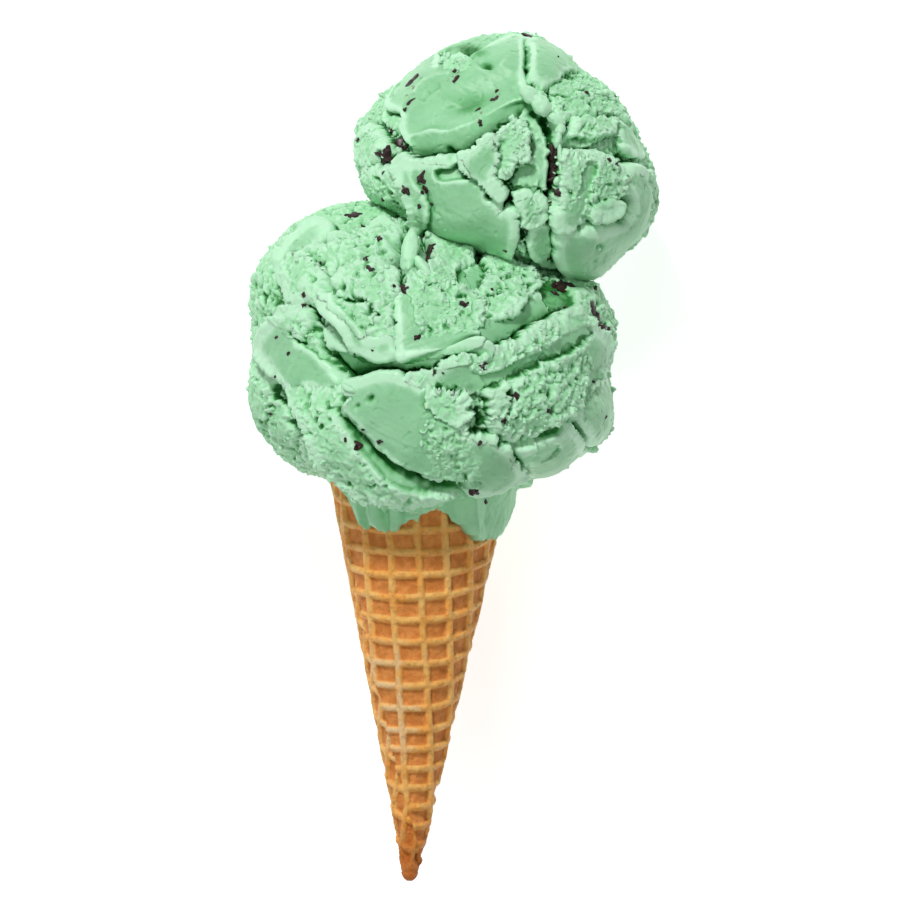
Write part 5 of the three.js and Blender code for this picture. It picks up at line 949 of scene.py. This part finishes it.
def ring_body(rings):
    """A closed body from an array of rings of points, capped by the middle of its first and last ring."""
    count, around = rings.shape[:2]
    points = np.concatenate([rings.reshape(-1, 3), rings[0].mean(0)[None], rings[-1].mean(0)[None]])
    here = np.arange(around)
    there = (here + 1) % around
    first, last = count * around, count * around + 1
    faces = [np.stack([np.full(around, first), there, here], axis=1)]
    low = (np.arange(count - 1) * around)[:, None]
    a, b = (low + here).ravel(), (low + there).ravel()
    faces.append(np.stack([a, b, b + around], axis=1))
    faces.append(np.stack([a, b + around, a + around], axis=1))
    top = (count - 1) * around
    faces.append(np.stack([np.full(around, last), top + here, top + there], axis=1))
    return points, np.concatenate(faces)


# The scoops' pieces

def sheet_drop(sheet, turn):
    """How far a sheet runs past the rim, with its torn edge."""
    places, drops = np.array(sheet["drops"]).T
    drop = np.interp(np.degrees(turn) % 360, places % 360, drops, period=360)
    ring = np.stack([
        TORN_RING * np.cos(turn), TORN_RING * np.sin(turn), np.full(turn.shape, 3 * sheet["thick"])], axis=-1)
    return drop + 0.9 * noise(ring, 2.6, 30) + 0.6 * noise(ring, 1.0, 31) + 0.35 * noise(ring, 0.5, 32)


def sheet_swell(sheet, turn):
    """How much thicker a sheet is where it swells."""
    bearing, reach, rise = sheet["swell"]
    return rise * smoothstep(1 - np.abs(bearing_gap(turn, bearing)) / reach)


def rim_sheet(sheet):
    """Ice cream that runs down over the cone's rim as a torn sheet, clear of the wafer behind it."""
    turn = np.linspace(0, 2 * math.pi, SHEET_STEPS, endpoint=False)
    drop = sheet_drop(sheet, turn)
    thin = 0.35 * noise(np.stack([9 * np.cos(turn), 9 * np.sin(turn), 0 * turn], axis=-1), 4, 33)
    swell = sheet_swell(sheet, turn)
    behind = LAP / 2 + GAP
    outer = [(9, 0, -3.0), (4, 0, 0.5), (1, 0, 1.0)]
    outer += [(0, down, 1.0) for down in np.linspace(0.1, 0.94, SHEET_RINGS)]
    outer += [(0, 0.975, 0.86), (0, 1.0, 0.6)]
    rings = []
    for above, down, share in outer:
        along = RIM + above - down * drop
        thick = sheet["top"] + (sheet["thick"] - sheet["top"]) * down + thin + swell
        out = behind + share * (thick - behind) if share > 0 else share * np.ones(SHEET_STEPS)
        spot = cone_points(along, turn, cone_radius(along) + out)
        if share > 0:
            bump = 1.1 * billow(spot, 2.4, 3) + 0.7 * billow(spot, 1.2, 4) - 0.5 * billow(spot, 0.8, 5)
            facet = 0.9 * billow(spot, 6.0, 37)
            for top, foot, rise, reach in sheet["folds"]:
                gap = bearing_gap(turn, top + (foot - top) * down)
                facet = facet + rise * np.maximum(0, 1 - np.abs(gap) / reach)
            out = np.maximum(out + share * (sheet["rough"] * bump + facet), behind + 0.25)
        rings.append(cone_points(along, turn, cone_radius(along) + out))
    for above, down, out in ((0, 0.99, behind), (0, 0.5, behind), (0.5, 0, behind), (0.6, 0, -WALL - 3)):
        along = RIM + above - down * drop
        rings.append(cone_points(along, turn, cone_radius(along) + out))
    return ring_body(np.array(rings[::-1]))


def plug():
    """The ice cream that fills the cone's mouth."""
    turn = np.linspace(0, 2 * math.pi, PLUG_STEPS, endpoint=False)
    alongs = np.linspace(RIM - PLUG_DEPTH, RIM + PLUG_TOP, PLUG_RINGS)
    inside = [cone_points(along, turn, cone_radius(along) - WALL - GAP) for along in alongs]
    return ring_body(np.array(inside))


def crumbs(points, normals, rough, seed):
    """Crumbs half sunk in the crumbly places: a few large ones and many small ones."""
    random = np.random.default_rng(seed)
    parts = []
    for levels, count, low, high in CRUMBS:
        sphere, faces = icosphere(levels)
        for number in random.choice(len(points), count, p=rough / rough.sum()):
            size = low + (high - low) * random.random() ** 2
            stretch = 0.65 + 0.7 * random.random(3)
            shape = sphere * size * stretch * (0.75 + 0.5 * random.random((len(sphere), 1)))
            parts.append((shape + points[number] + 0.15 * size * normals[number], faces))
    return parts


def blob(scoop, x, y, half_long, half_wide, half_thick, tilt, lift, seed):
    """A smooth lump of ice cream that lies on the scoop and hangs over at its edges."""
    sphere, faces = icosphere(BLOB_LEVELS)
    points = sphere * (half_long, half_wide, half_thick)
    points = points * (1 + 0.14 * noise(points, 1.7, seed) + 0.05 * noise(points, 0.6, seed + 1))[:, None]
    turn = Matrix.Rotation(math.radians(tilt), 3, "Z")
    place = surface_point(scoop, x, y)
    outward = Vector(place).normalized()
    outward = (outward + Vector((0, 0, 1))).normalized()
    turn_to = Vector((0, 0, 1)).rotation_difference(outward).to_matrix() @ turn
    middle = place + np.array(outward) * lift + scoop["centre"]
    return points @ np.array(turn_to).T + middle, faces


def vertex_normals(points, faces):
    """Each vertex's outward direction, from the triangles round it."""
    normals = np.zeros_like(points)
    corner = points[faces]
    face_normal = np.cross(corner[:, 1] - corner[:, 0], corner[:, 2] - corner[:, 0])
    for k in range(3):
        np.add.at(normals, faces[:, k], face_normal)
    return unit(normals)


def body_normals(scoop, directions, faces):
    """The smooth body's outward directions, to tell how steep the relief stands on it."""
    return vertex_normals(body_points(scoop, directions), faces)


def cone_place(points):
    """How far along the cone's axis each point is, its bearing round the axis and its distance from it."""
    x, y = points[:, 0] - APEX[0], points[:, 1] - APEX[1]
    along = x * math.sin(LEAN) + y * math.cos(LEAN)
    across = x * math.cos(LEAN) - y * math.sin(LEAN)
    height = points[:, 2] - AXIS_HEIGHT
    return along, np.arctan2(across, height), np.hypot(across, height)


def press_against_upper(points):
    """Moves what would lie in the upper scoop out to its surface, so that the lower one is dented by it."""
    centre = np.array(UPPER["centre"])
    away = points - centre
    distance = np.linalg.norm(away, axis=1)
    close = np.nonzero(distance < PRESS_REACH)[0]
    surface = np.linalg.norm(scoop_form(UPPER, unit(away[close]))["points"], axis=1) + GAP
    held = close[distance[close] < surface]
    points[held] = centre + unit(away[held]) * surface[distance[close] < surface][:, None]


def hollowness(faces, count, height):
    """How far each vertex lies below its surroundings, for the painted shade: 0 on the open surface, 1 deep
    in a crease, below 0 on a crest, which gets a painted highlight.
    """
    edges = np.concatenate([faces[:, [0, 1]], faces[:, [1, 2]], faces[:, [2, 0]]])
    start = np.concatenate([edges[:, 0], edges[:, 1]])
    end = np.concatenate([edges[:, 1], edges[:, 0]])
    links = np.bincount(start, minlength=count)
    level = height.copy()
    near = height
    for turn in range(HOLLOW_ROUNDS):
        level = np.bincount(start, weights=level[end], minlength=count) / links
        if turn == HOLLOW_ROUNDS // 8:
            near = level
    return np.clip(WIDE_DEPTH * (level - height) + NEAR_DEPTH * (near - height), -1, 1)


def shade_depth(scoop, points):
    """Painted shade: how much darker some places are coloured, at undercuts that the relief alone is too
    shallow to shade.
    """
    depth = np.zeros(len(points))
    for x, y, half_long, half_wide, tilt, amount in scoop["shades"]:
        u, v, w = patch_coordinates(scoop, (x, y), half_long, half_wide, tilt, points)
        depth += amount * np.exp(-(u * u + v * v + 0.12 * w * w))
    return depth


def smear_share(scoop, points):
    """Where melted chocolate stains the ice cream round the flakes."""
    share = np.zeros(len(points))
    patchy = 0.5 + 0.9 * noise(points, 1.2, 41) + 0.5 * noise(points, 0.5, 42)
    for x, y, half_long, half_wide, tilt in scoop["smears"]:
        u, v, w = patch_coordinates(scoop, (x, y), half_long, half_wide, tilt, points)
        share = np.maximum(share, np.exp(-(u * u + v * v + w * w)))
    return np.clip(share * patchy, 0, 1)


def make_scoop(scoop, name, seed, extras, finish_points):
    """The scoop's own surface, then what lies in it: sheets at the rim, blobs and crumbs."""
    scoop["behind"] = back_relief(scoop, SEED + 7 * seed)
    directions, faces = icosphere(SPHERE_LEVELS)
    directions = unit(directions + (0, 0, FRONT_BIAS))
    form = scoop_form(scoop, directions)
    points = form["points"] + scoop["centre"]
    smooth = form["smooth"]
    normals = vertex_normals(points, faces)
    grain = 0.2 * billow(points, 0.8, 17) + 0.08 * noise(points, 0.5, 18)
    lift = smoothstep(points[:, 2] / 2)
    points += normals * (lift * ((1 - smooth) * grain + 0.09 * form["lines"]))[:, None]
    finish_points(points)
    # Painted shade in creases and on low floors, and a painted highlight on crests, carried in the colour
    painted_shade_and_highlight = hollowness(faces, len(points), form["height"])
    painted_shade_and_highlight += 0.22 * np.clip(-form["height"] - DEEP_FLOOR, 0, 3)
    # Painted shade on steep walls of the relief and at the listed shaded places, which are kept clear of
    # crumbs
    upright = (vertex_normals(points, faces) * body_normals(scoop, directions, faces)).sum(1)
    shade = shade_depth(scoop, points - scoop["centre"])
    painted_shade_and_highlight += 0.5 * smoothstep((0.8 - upright) / 0.7) + shade
    clump = np.clip(0.4 + 1.6 * noise(points, 5, 45) + 0.8 * noise(points, 2, 46), 0, 2)
    weight = np.clip(1 - smooth, 0, 1) ** 2 * clump * (points[:, 2] > 6)
    weight = weight * np.where(normals[:, 2] > 0, 1, 0.25)
    weight *= np.clip(1 - 2 * shade, 0, 1)
    loose = crumbs(points, normals, weight, seed)
    blobs = [blob(scoop, *values, 60 + i) for i, values in enumerate(scoop["blobs"])]
    parts = [(points, faces)] + [(part, part_faces) for part, part_faces, _ in extras] + blobs + loose
    piece = joined(name, parts)
    shares = [smooth] + [np.full(len(part), share) for part, _, share in extras]
    shares += [np.full(len(part), BLOB_SMOOTH) for part, _ in blobs]
    shares += [np.zeros(len(part)) for part, _ in loose]
    set_mask(piece.data, "smooth", np.concatenate(shares))
    # Blobs and crumbs get a painted highlight; the rim parts get neither painted shade nor highlight
    shade_and_highlight_parts = [painted_shade_and_highlight] + [np.zeros(len(part)) for part, _, _ in extras]
    shade_and_highlight_parts += [np.full(len(part), LUMP_PAINTED_HIGHLIGHT) for part, _ in blobs + loose]
    set_mask(piece.data, "painted_shade_and_highlight", np.concatenate(shade_and_highlight_parts))
    everywhere = np.concatenate([part for part, _ in parts]) - scoop["centre"]
    set_mask(piece.data, "smear", smear_share(scoop, everywhere))
    return piece


# Chocolate flakes

def shard(length, width, thick, random):
    """A broken splinter of chocolate: a ball cut flat on several sides."""
    points, faces = icosphere(1)
    for _ in range(SHARD_CUTS):
        side = unit(random.normal(size=3))
        over = np.maximum(0, points @ side - 0.5 - 0.3 * random.random())
        points = points - over[:, None] * side
    points = points * (1 + 0.2 * random.random((len(points), 1)))
    return points * (0.6 * length, 0.6 * width, 0.6 * thick), faces


def shattered(length, width, random):
    """A flake as a cluster of splinters, the largest in the middle."""
    parts = []
    for k in range(2 + int(1.5 * length)):
        turn = math.radians(random.uniform(-25, 25) + 90 * (random.random() < 0.2))
        far = 0 if k == 0 else random.uniform(0.2, 0.45)
        angle = random.uniform(0, 2 * math.pi)
        long = length * (0.85 if k == 0 else random.uniform(0.25, 0.5))
        points, faces = shard(long, min(width, long) * random.uniform(0.6, 1.0), FLAKE_THICK, random)
        turned = points @ np.array(Matrix.Rotation(turn, 3, "Z")).T
        parts.append((turned + (far * length * math.cos(angle), far * width * math.sin(angle), 0), faces))
    return parts


def flake_parts(scoop, piece, seed):
    """Flakes where the photo shows them, and a few on the back by the seeded rule."""
    random = np.random.default_rng(seed)
    tree = BVHTree.FromObject(piece, bpy.context.evaluated_depsgraph_get())
    spots = [(x, y, length, width, tilt, 1) for x, y, length, width, tilt in scoop["flakes"]]
    for i in range(BACK_FLAKES):
        turn = i * BACK_FLAKE_TURN
        radius = float(outline_radius(scoop, turn)) * (0.35 + 0.6 * random.random())
        length = 1.2 + 3.2 * random.random() ** 2
        place = (radius * math.cos(turn), radius * math.sin(turn))
        spots.append((*place, length, length * 0.6, 180 * random.random(), -1))
    parts = []
    for x, y, length, width, tilt, side in spots:
        place = surface_point(scoop, x, y, side)
        start = Vector((np.array(scoop["centre"]) + place + (0, 0, 30 * side)) * MM)
        hit, normal, _, _ = tree.ray_cast(start, Vector((0, 0, -side)))
        if hit is None or (side < 0 and hit.z < LOWEST_FLAKE * MM):
            start = Vector((np.array(scoop["centre"]) + place * 2) * MM)
            hit, normal, _, _ = tree.ray_cast(start, Vector(-place).normalized())
        if hit is None or hit.z < LOWEST_FLAKE * MM:
            continue
        outward = (Vector(unit(place)) + 0.7 * normal).normalized()
        turn_to = Vector((0, 0, 1)).rotation_difference(outward).to_matrix()
        turn_to = turn_to @ Matrix.Rotation(math.radians(tilt), 3, "Z")
        for points, faces in shattered(length, width, random):
            middle = points.mean(0)
            spot = Vector((np.array(turn_to) @ middle + np.array(hit) / MM + 3 * np.array(outward)) * MM)
            landed, _, _, _ = tree.ray_cast(spot, -outward, 8 * MM)
            ground = np.array(landed if landed is not None else hit) / MM
            points = (points - middle) @ np.array(turn_to).T + ground - FLAKE_SINK * np.array(outward)
            parts.append((points, faces))
    return parts


# The waffle cone

def lap_bearing(slant):
    """Where the wafer's outer edge lies on the flat wafer, at a distance from its point."""
    return LAP_BEARING + np.arcsin(np.clip(LAP_OFFSET / slant, -1, 1))


def row_phase(row):
    """How far a grid coordinate is from the nearest row ridge, in millimetres."""
    edges = [FIRST_ROW - ROWS_BELOW * ROW_NEAR_TIP]
    while edges[-1] < RIM * GRID_MARGIN:
        edges.append(edges[-1] + (ROW_NEAR_TIP if len(edges) <= TIP_ROWS + ROWS_BELOW else ROW))
    edges = np.array(edges)
    number = np.clip(np.searchsorted(edges, row), 1, len(edges) - 1)
    return np.minimum(row - edges[number - 1], edges[number] - row)


def ridge_height(distance):
    """A rounded ridge: 1 at its crest and 0 on the floor."""
    return 1 - smoothstep((distance - 0.4) / (RIDGE / 2 - 0.3))


def waffle_relief(flat):
    """The flat wafer's height at x, y before rolling, and where its ridges are."""
    uneven = 0.35 * noise(np.column_stack([flat, np.zeros(len(flat))]), 9, 50)
    column = flat[:, 0] * math.cos(COLUMN_SLANT) + flat[:, 1] * math.sin(COLUMN_SLANT) + uneven
    row = flat[:, 1] * math.cos(ROW_SLANT) - flat[:, 0] * math.sin(ROW_SLANT) + uneven
    from_column = np.abs((column - COLUMN_SHIFT + COLUMN / 2) % COLUMN - COLUMN / 2)
    from_row = row_phase(row)
    spot = np.column_stack([flat, np.full(len(flat), 5.0)])
    ridge = np.maximum(ridge_height(from_column), ridge_height(from_row))
    height = CELL_DEPTH * (ridge - 1)
    height += 0.14 * noise(spot, 2.4, 51) + 0.10 * noise(spot, 1.0, 52)
    height -= 0.35 * smoothstep((noise(spot, 1.6, 53) - 0.55) / 0.2) * ridge
    burnt = 1 - smoothstep((np.hypot(*flat.T) - BURNT) / BURNT_FADE)
    height += 0.6 * burnt * billow(spot, 3.0, 54)
    return height, ridge


def make_cone():
    """The rolled wafer as one closed mesh: rings outside from the tip to the rim, then down inside."""
    around = int(2 * math.pi * cone_radius(RIM) / CONE_STEP)
    share = np.linspace(0, 1, around)
    alongs = np.linspace(TIP + BLUNT, RIM, int((RIM - TIP) / CONE_STEP))
    rings, ridges = [], []
    for above in TIP_RINGS:
        blunt = math.sqrt(1 - ((BLUNT - above) / BLUNT) ** 2)
        turn = share * 2 * math.pi * around / (around + 1) + 1
        rings.append(cone_points(TIP + above, turn, cone_radius(TIP + BLUNT) * blunt))
        ridges.append(np.full(around, 0.5))
    for along in alongs:
        slant = max(along, LAP_NEAREST) / math.cos(HALF_ANGLE)
        start = float(lap_bearing(slant))
        bearing = start + share * 2 * math.pi * math.sin(HALF_ANGLE)
        real = along / math.cos(HALF_ANGLE)
        flat = np.column_stack([real * np.sin(bearing), real * np.cos(bearing)])
        height, ridge = waffle_relief(flat)
        fade = smoothstep((along - TIP - FADE_FROM) / FADE_OVER)
        radius = cone_radius(along) + (LAP * (0.5 - share) + height) * fade
        rings.append(cone_points(along, bearing / math.sin(HALF_ANGLE), radius))
        ridges.append(0.5 + (ridge - 0.5) * fade)
    lap = float(lap_bearing(RIM / math.cos(HALF_ANGLE))) / math.sin(HALF_ANGLE)
    turn = np.linspace(0, 2 * math.pi, around, endpoint=False) + lap
    for along in np.linspace(RIM, WALL / math.tan(HALF_ANGLE) + BORE_END, INSIDE_RINGS):
        rings.append(cone_points(along, turn, cone_radius(along) - WALL))
        ridges.append(np.full(around, 0.5))
    points, faces = ring_body(np.array(rings))
    piece = new_object("waffle_wafer", points, faces)
    set_mask(piece.data, "ridge", np.concatenate(ridges + [[0.5, 0.5]]))
    along, turn, _ = cone_place(points)
    set_mask(piece.data, "along", along)
    set_mask(piece.data, "turn", turn)
    return piece


# Materials

class Shader:
    """A short way to write a node tree."""

    def __init__(self, name):
        self.material = bpy.data.materials.new(name)
        self.material.use_nodes = True
        self.tree = self.material.node_tree
        self.surface = self.tree.nodes["Principled BSDF"]

    def node(self, kind, inputs=None, **settings):
        made = self.tree.nodes.new(kind)
        for key, value in settings.items():
            setattr(made, key, value)
        for key, value in (inputs or {}).items():
            self.set(made.inputs[key], value)
        return made

    def set(self, socket, value):
        if isinstance(value, bpy.types.NodeSocket):
            self.tree.links.new(value, socket)
        else:
            socket.default_value = value

    def mask(self, name):
        return self.node("ShaderNodeAttribute", attribute_name=name).outputs["Fac"]

    def noise(self, size, detail=2.0, roughness=0.5, seed=0.0):
        """Noise with lumps of the given size in millimetres."""
        place = self.node("ShaderNodeTexCoord").outputs["Object"]
        moved = self.node("ShaderNodeMapping", {"Vector": place, "Location": (seed, seed, seed)})
        made = self.node("ShaderNodeTexNoise", {
            "Vector": moved.outputs["Vector"], "Scale": 1 / (size * MM), "Detail": detail,
            "Roughness": roughness})
        return made.outputs["Fac"]

    def ramp(self, value, low, high, to_low=0.0, to_high=1.0):
        made = self.node("ShaderNodeMapRange", {
            "Value": value, "From Min": low, "From Max": high, "To Min": to_low, "To Max": to_high})
        made.interpolation_type = "SMOOTHSTEP"
        return made.outputs["Result"]

    def math(self, operation, a, b):
        return self.node("ShaderNodeMath", {0: a, 1: b}, operation=operation).outputs[0]

    def mix(self, share, a, b):
        made = self.node("ShaderNodeMix", data_type="RGBA")
        self.set(made.inputs["Factor"], share)
        for key, value in (("A", a), ("B", b)):
            socket = [s for s in made.inputs if s.name == key and s.type == "RGBA"][0]
            self.set(socket, (*value, 1) if isinstance(value, tuple) else value)
        return [s for s in made.outputs if s.type == "RGBA"][0]

    def bump(self, height, distance, strength, after=None):
        inputs = {"Height": height, "Distance": distance * MM, "Strength": strength}
        if after is not None:
            inputs["Normal"] = after
        return self.node("ShaderNodeBump", inputs).outputs["Normal"]

    def finish(self, **values):
        for key, value in values.items():
            self.set(self.surface.inputs[key.replace("_", " ")], value)
        return self.material


# Colours, as linear red, green and blue
MINT_SMOOTH = (0.295, 0.635, 0.35)
MINT_CRUMBLY = (0.415, 0.82, 0.48)
# A paler mint, a painted highlight for crests, blobs and crumbs
MINT_PAINTED_HIGHLIGHT = (0.61, 0.96, 0.68)
# Darker greens, painted shade for creases, low floors and steep walls; the first is also a darker random tone
MINT_SHADE_AND_DARK_TONE = (0.155, 0.50, 0.19)
MINT_SHADE = (0.02, 0.19, 0.03)
STAIN = (0.22, 0.13, 0.10)
STAIN_SPECK = (0.20, 0.16, 0.12)
COCOA = (0.019, 0.004, 0.004)
COCOA_LIGHT = (0.035, 0.010, 0.009)
WAFER_FLOOR = (0.72, 0.245, 0.045)
WAFER_FLOOR_LIGHT = (0.86, 0.34, 0.08)
WAFER_CREST = (1.0, 0.45, 0.085)
WAFER_CREST_LIGHT = (1.0, 0.57, 0.16)
WAFER_PALE = (0.98, 0.66, 0.32)
WAFER_TOASTED = (0.50, 0.17, 0.025)
WAFER_SPECK = (0.34, 0.11, 0.02)
WAFER_BAKED = (0.52, 0.125, 0.004)
FLOOR_GREYS = ((0.66, 0.66, 0.66), (0.70, 0.70, 0.70))


def mint_material():
    s = Shader("mint_ice_cream")
    smooth, painted_shade_and_highlight = s.mask("smooth"), s.mask("painted_shade_and_highlight")
    colour = s.mix(s.ramp(smooth, 0.3, 0.9), MINT_CRUMBLY, MINT_SMOOTH)
    colour = s.mix(s.ramp(s.noise(9, 3), 0.35, 0.68, 0, 0.3), colour, MINT_CRUMBLY)
    # Darker green at random, in the same colour as the painted crease shade
    colour = s.mix(s.ramp(s.noise(2.2, 4, seed=3.0), 0.5, 0.75, 0, 0.2), colour, MINT_SHADE_AND_DARK_TONE)
    # Painted highlight on crests, blobs and crumbs, and painted shade in creases, on low floors, on steep
    # walls and at the listed shaded places
    colour = s.mix(s.ramp(painted_shade_and_highlight, -0.04, -0.35, 0, 0.8), colour, MINT_PAINTED_HIGHLIGHT)
    colour = s.mix(s.ramp(painted_shade_and_highlight, 0.08, 0.45, 0, 0.75), colour, MINT_SHADE_AND_DARK_TONE)
    colour = s.mix(s.ramp(painted_shade_and_highlight, 0.3, 0.85, 0, 0.95), colour, MINT_SHADE)
    smear = s.math("MULTIPLY", s.mask("smear"), s.ramp(s.noise(0.9, 5, 0.6, seed=7.0), 0.42, 0.62))
    colour = s.mix(s.ramp(smear, 0.25, 0.75, 0, 0.75), colour, STAIN)
    speck = s.ramp(s.noise(0.55, 1, seed=11.0), 0.77, 0.80, 0, 0.6)
    colour = s.mix(speck, colour, STAIN_SPECK)
    grain = s.noise(0.35, 4, 0.65, seed=5.0)
    normal = s.bump(grain, 0.16, s.ramp(smooth, 0, 1, 1.0, 0.25))
    normal = s.bump(s.noise(0.9, 3, seed=9.0), 0.22, s.ramp(smooth, 0, 1, 0.8, 0.12), normal)
    return s.finish(
        Base_Color=colour, Roughness=s.ramp(smooth, 0, 1, 0.5, 0.38), Normal=normal, IOR=1.36,
        Subsurface_Weight=0.25, Subsurface_Radius=(0.6, 1.3, 0.75), Subsurface_Scale=0.0006,
        Specular_IOR_Level=0.5)


def chocolate_material():
    s = Shader("chocolate")
    colour = s.mix(s.ramp(s.noise(0.8, 3), 0.4, 0.65), COCOA, COCOA_LIGHT)
    normal = s.bump(s.noise(0.35, 4), 0.12, 0.8)
    roughness = s.ramp(s.noise(1.2, 2, seed=2.0), 0.3, 0.7, 0.28, 0.55)
    return s.finish(Base_Color=colour, Roughness=roughness, Normal=normal)


def waffle_material():
    s = Shader("waffle")
    ridge, along, turn = s.mask("ridge"), s.mask("along"), s.mask("turn")
    floor = s.mix(s.ramp(s.noise(3.0, 3, seed=1.0), 0.35, 0.65), WAFER_FLOOR, WAFER_FLOOR_LIGHT)
    crest = s.mix(s.ramp(s.noise(4.0, 3, seed=2.0), 0.35, 0.65), WAFER_CREST, WAFER_CREST_LIGHT)
    colour = s.mix(s.ramp(ridge, 0.05, 0.55), floor, crest)
    pale_place = s.math("MULTIPLY", s.ramp(along, 34, 48), s.ramp(along, 74, 62))
    shown_left = s.math("MULTIPLY", s.ramp(turn, -1.3, -0.8), s.ramp(turn, 0.35, -0.05))
    pale_place = s.math("MULTIPLY", pale_place, shown_left)
    pale = s.math("MULTIPLY", pale_place, s.ramp(s.noise(9, 2, seed=4.0), 0.34, 0.5))
    colour = s.mix(s.math("MULTIPLY", pale, s.ramp(ridge, 0.4, 0.9)), colour, WAFER_PALE)
    toasted = s.ramp(s.noise(1.3, 4, 0.6, seed=12.0), 0.48, 0.68, 0, 0.4)
    colour = s.mix(toasted, colour, WAFER_TOASTED)
    speck = s.ramp(s.noise(0.4, 2, seed=6.0), 0.64, 0.74, 0, 0.35)
    colour = s.mix(speck, colour, WAFER_SPECK)
    baked = s.ramp(s.math("ADD", along, s.math("MULTIPLY", s.noise(6, 3, seed=8.0), 12.0)), 34, 17)
    colour = s.mix(s.math("MULTIPLY", baked, 0.85), colour, WAFER_BAKED)
    normal = s.bump(s.noise(0.45, 4, 0.7), 0.35, 1.0)
    normal = s.bump(s.noise(1.5, 4, 0.6, seed=3.0), 0.6, 0.8, normal)
    return s.finish(
        Base_Color=colour, Roughness=s.ramp(ridge, 0, 1, 0.72, 0.48), Normal=normal,
        Subsurface_Weight=0.12, Subsurface_Radius=(1.0, 0.5, 0.2), Subsurface_Scale=0.0008,
        Specular_IOR_Level=0.4)


def floor_material():
    s = Shader("pale_floor")
    colour = s.mix(s.ramp(s.noise(60, 2), 0.3, 0.7), *FLOOR_GREYS)
    return s.finish(
        Base_Color=colour, Roughness=0.9, Specular_IOR_Level=0.1,
        Emission_Color=(1, 1, 1, 1), Emission_Strength=FLOOR_GLOW)


# The stage

def make_camera():
    data = bpy.data.cameras.new("camera")
    data.lens = LENS
    data.sensor_width = SENSOR
    data.clip_start = 0.01
    camera = bpy.data.objects.new("camera", data)
    height = VIEW_WIDTH * LENS / SENSOR + AXIS_HEIGHT
    camera.location = Vector((*VIEW_MIDDLE, height)) * MM
    bpy.context.scene.collection.objects.link(camera)
    bpy.context.scene.camera = camera


def area_light(name, place, size, power):
    data = bpy.data.lights.new(name, "AREA")
    data.shape = "DISK"
    data.size = size
    data.energy = power
    lamp = bpy.data.objects.new(name, data)
    lamp.location = place
    lamp.rotation_euler = (Vector(LIGHT_AIM) - Vector(place)).to_track_quat("-Z", "Y").to_euler()
    bpy.context.scene.collection.objects.link(lamp)


def make_stage():
    half = FLOOR_WIDTH / 2
    corners = [(-half, -half, 0), (half, -half, 0), (half, half, 0), (-half, half, 0)]
    floor = new_object("floor", np.array(corners), np.array([(0, 1, 2, 3)]))
    floor.data.materials.append(floor_material())
    for light in LIGHTS:
        area_light(*light)
    world = bpy.data.worlds.new("soft_sky")
    world.use_nodes = True
    world.node_tree.nodes["Background"].inputs["Color"].default_value = (1, 1, 1, 1)
    world.node_tree.nodes["Background"].inputs["Strength"].default_value = SKY
    bpy.context.scene.world = world
    bpy.context.scene.view_settings.view_transform = "Standard"


def dress(piece, material, slot, *nodes):
    """Gives a piece its material and body, and hides the solids that it replaces. Its slot argument is not
    used.
    """
    piece.data.materials.clear()
    piece.data.materials.append(material)
    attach(piece, "root")
    if nodes:
        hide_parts(*nodes)


def clear_cone_wall(piece):
    """Keeps the ice cream out of the wafer: the torn sheets outside it, and what fills the mouth inside."""
    points = mesh_points(piece.data)
    along, turn, radius = cone_place(points)
    outer = cone_radius(along) + LAP / 2 + GAP
    inner = cone_radius(along) - WALL - GAP
    middle = cone_radius(along) - WALL / 2
    below = along < RIM
    out = below & (radius > middle) & (radius < outer)
    into = below & (radius <= middle) & (radius > inner)
    target = np.where(out, outer, np.where(into, inner, radius))
    moved = cone_points(along, turn, target)
    points[out | into] = moved[out | into]
    set_points(piece.data, points)


make_camera()
make_stage()
mint = mint_material()
chocolate = chocolate_material()
upper = make_scoop(UPPER, "upper_scoop", 0, [], lambda points: None)
# Each part at the rim, with how smooth it looks
rim_parts = [(*rim_sheet(SHEETS[0]), 0.5), (*rim_sheet(SHEETS[1]), 0.2), (*plug(), 0.5)]
lower = make_scoop(LOWER, "lower_scoop", 1, rim_parts, press_against_upper)
clear_cone_wall(lower)
dress(upper, mint, "mint_ice_cream", "scoop_upper")
dress(lower, mint, "mint_ice_cream", "scoop_lower")
splinters = flake_parts(UPPER, upper, seed=3) + flake_parts(LOWER, lower, seed=4)
flakes = joined("chocolate_flakes", splinters, smooth=False)
dress(flakes, chocolate, "chocolate")
cone = make_cone()
dress(cone, waffle_material(), "waffle", "waffle_cone")

bpy.context.view_layer.update()
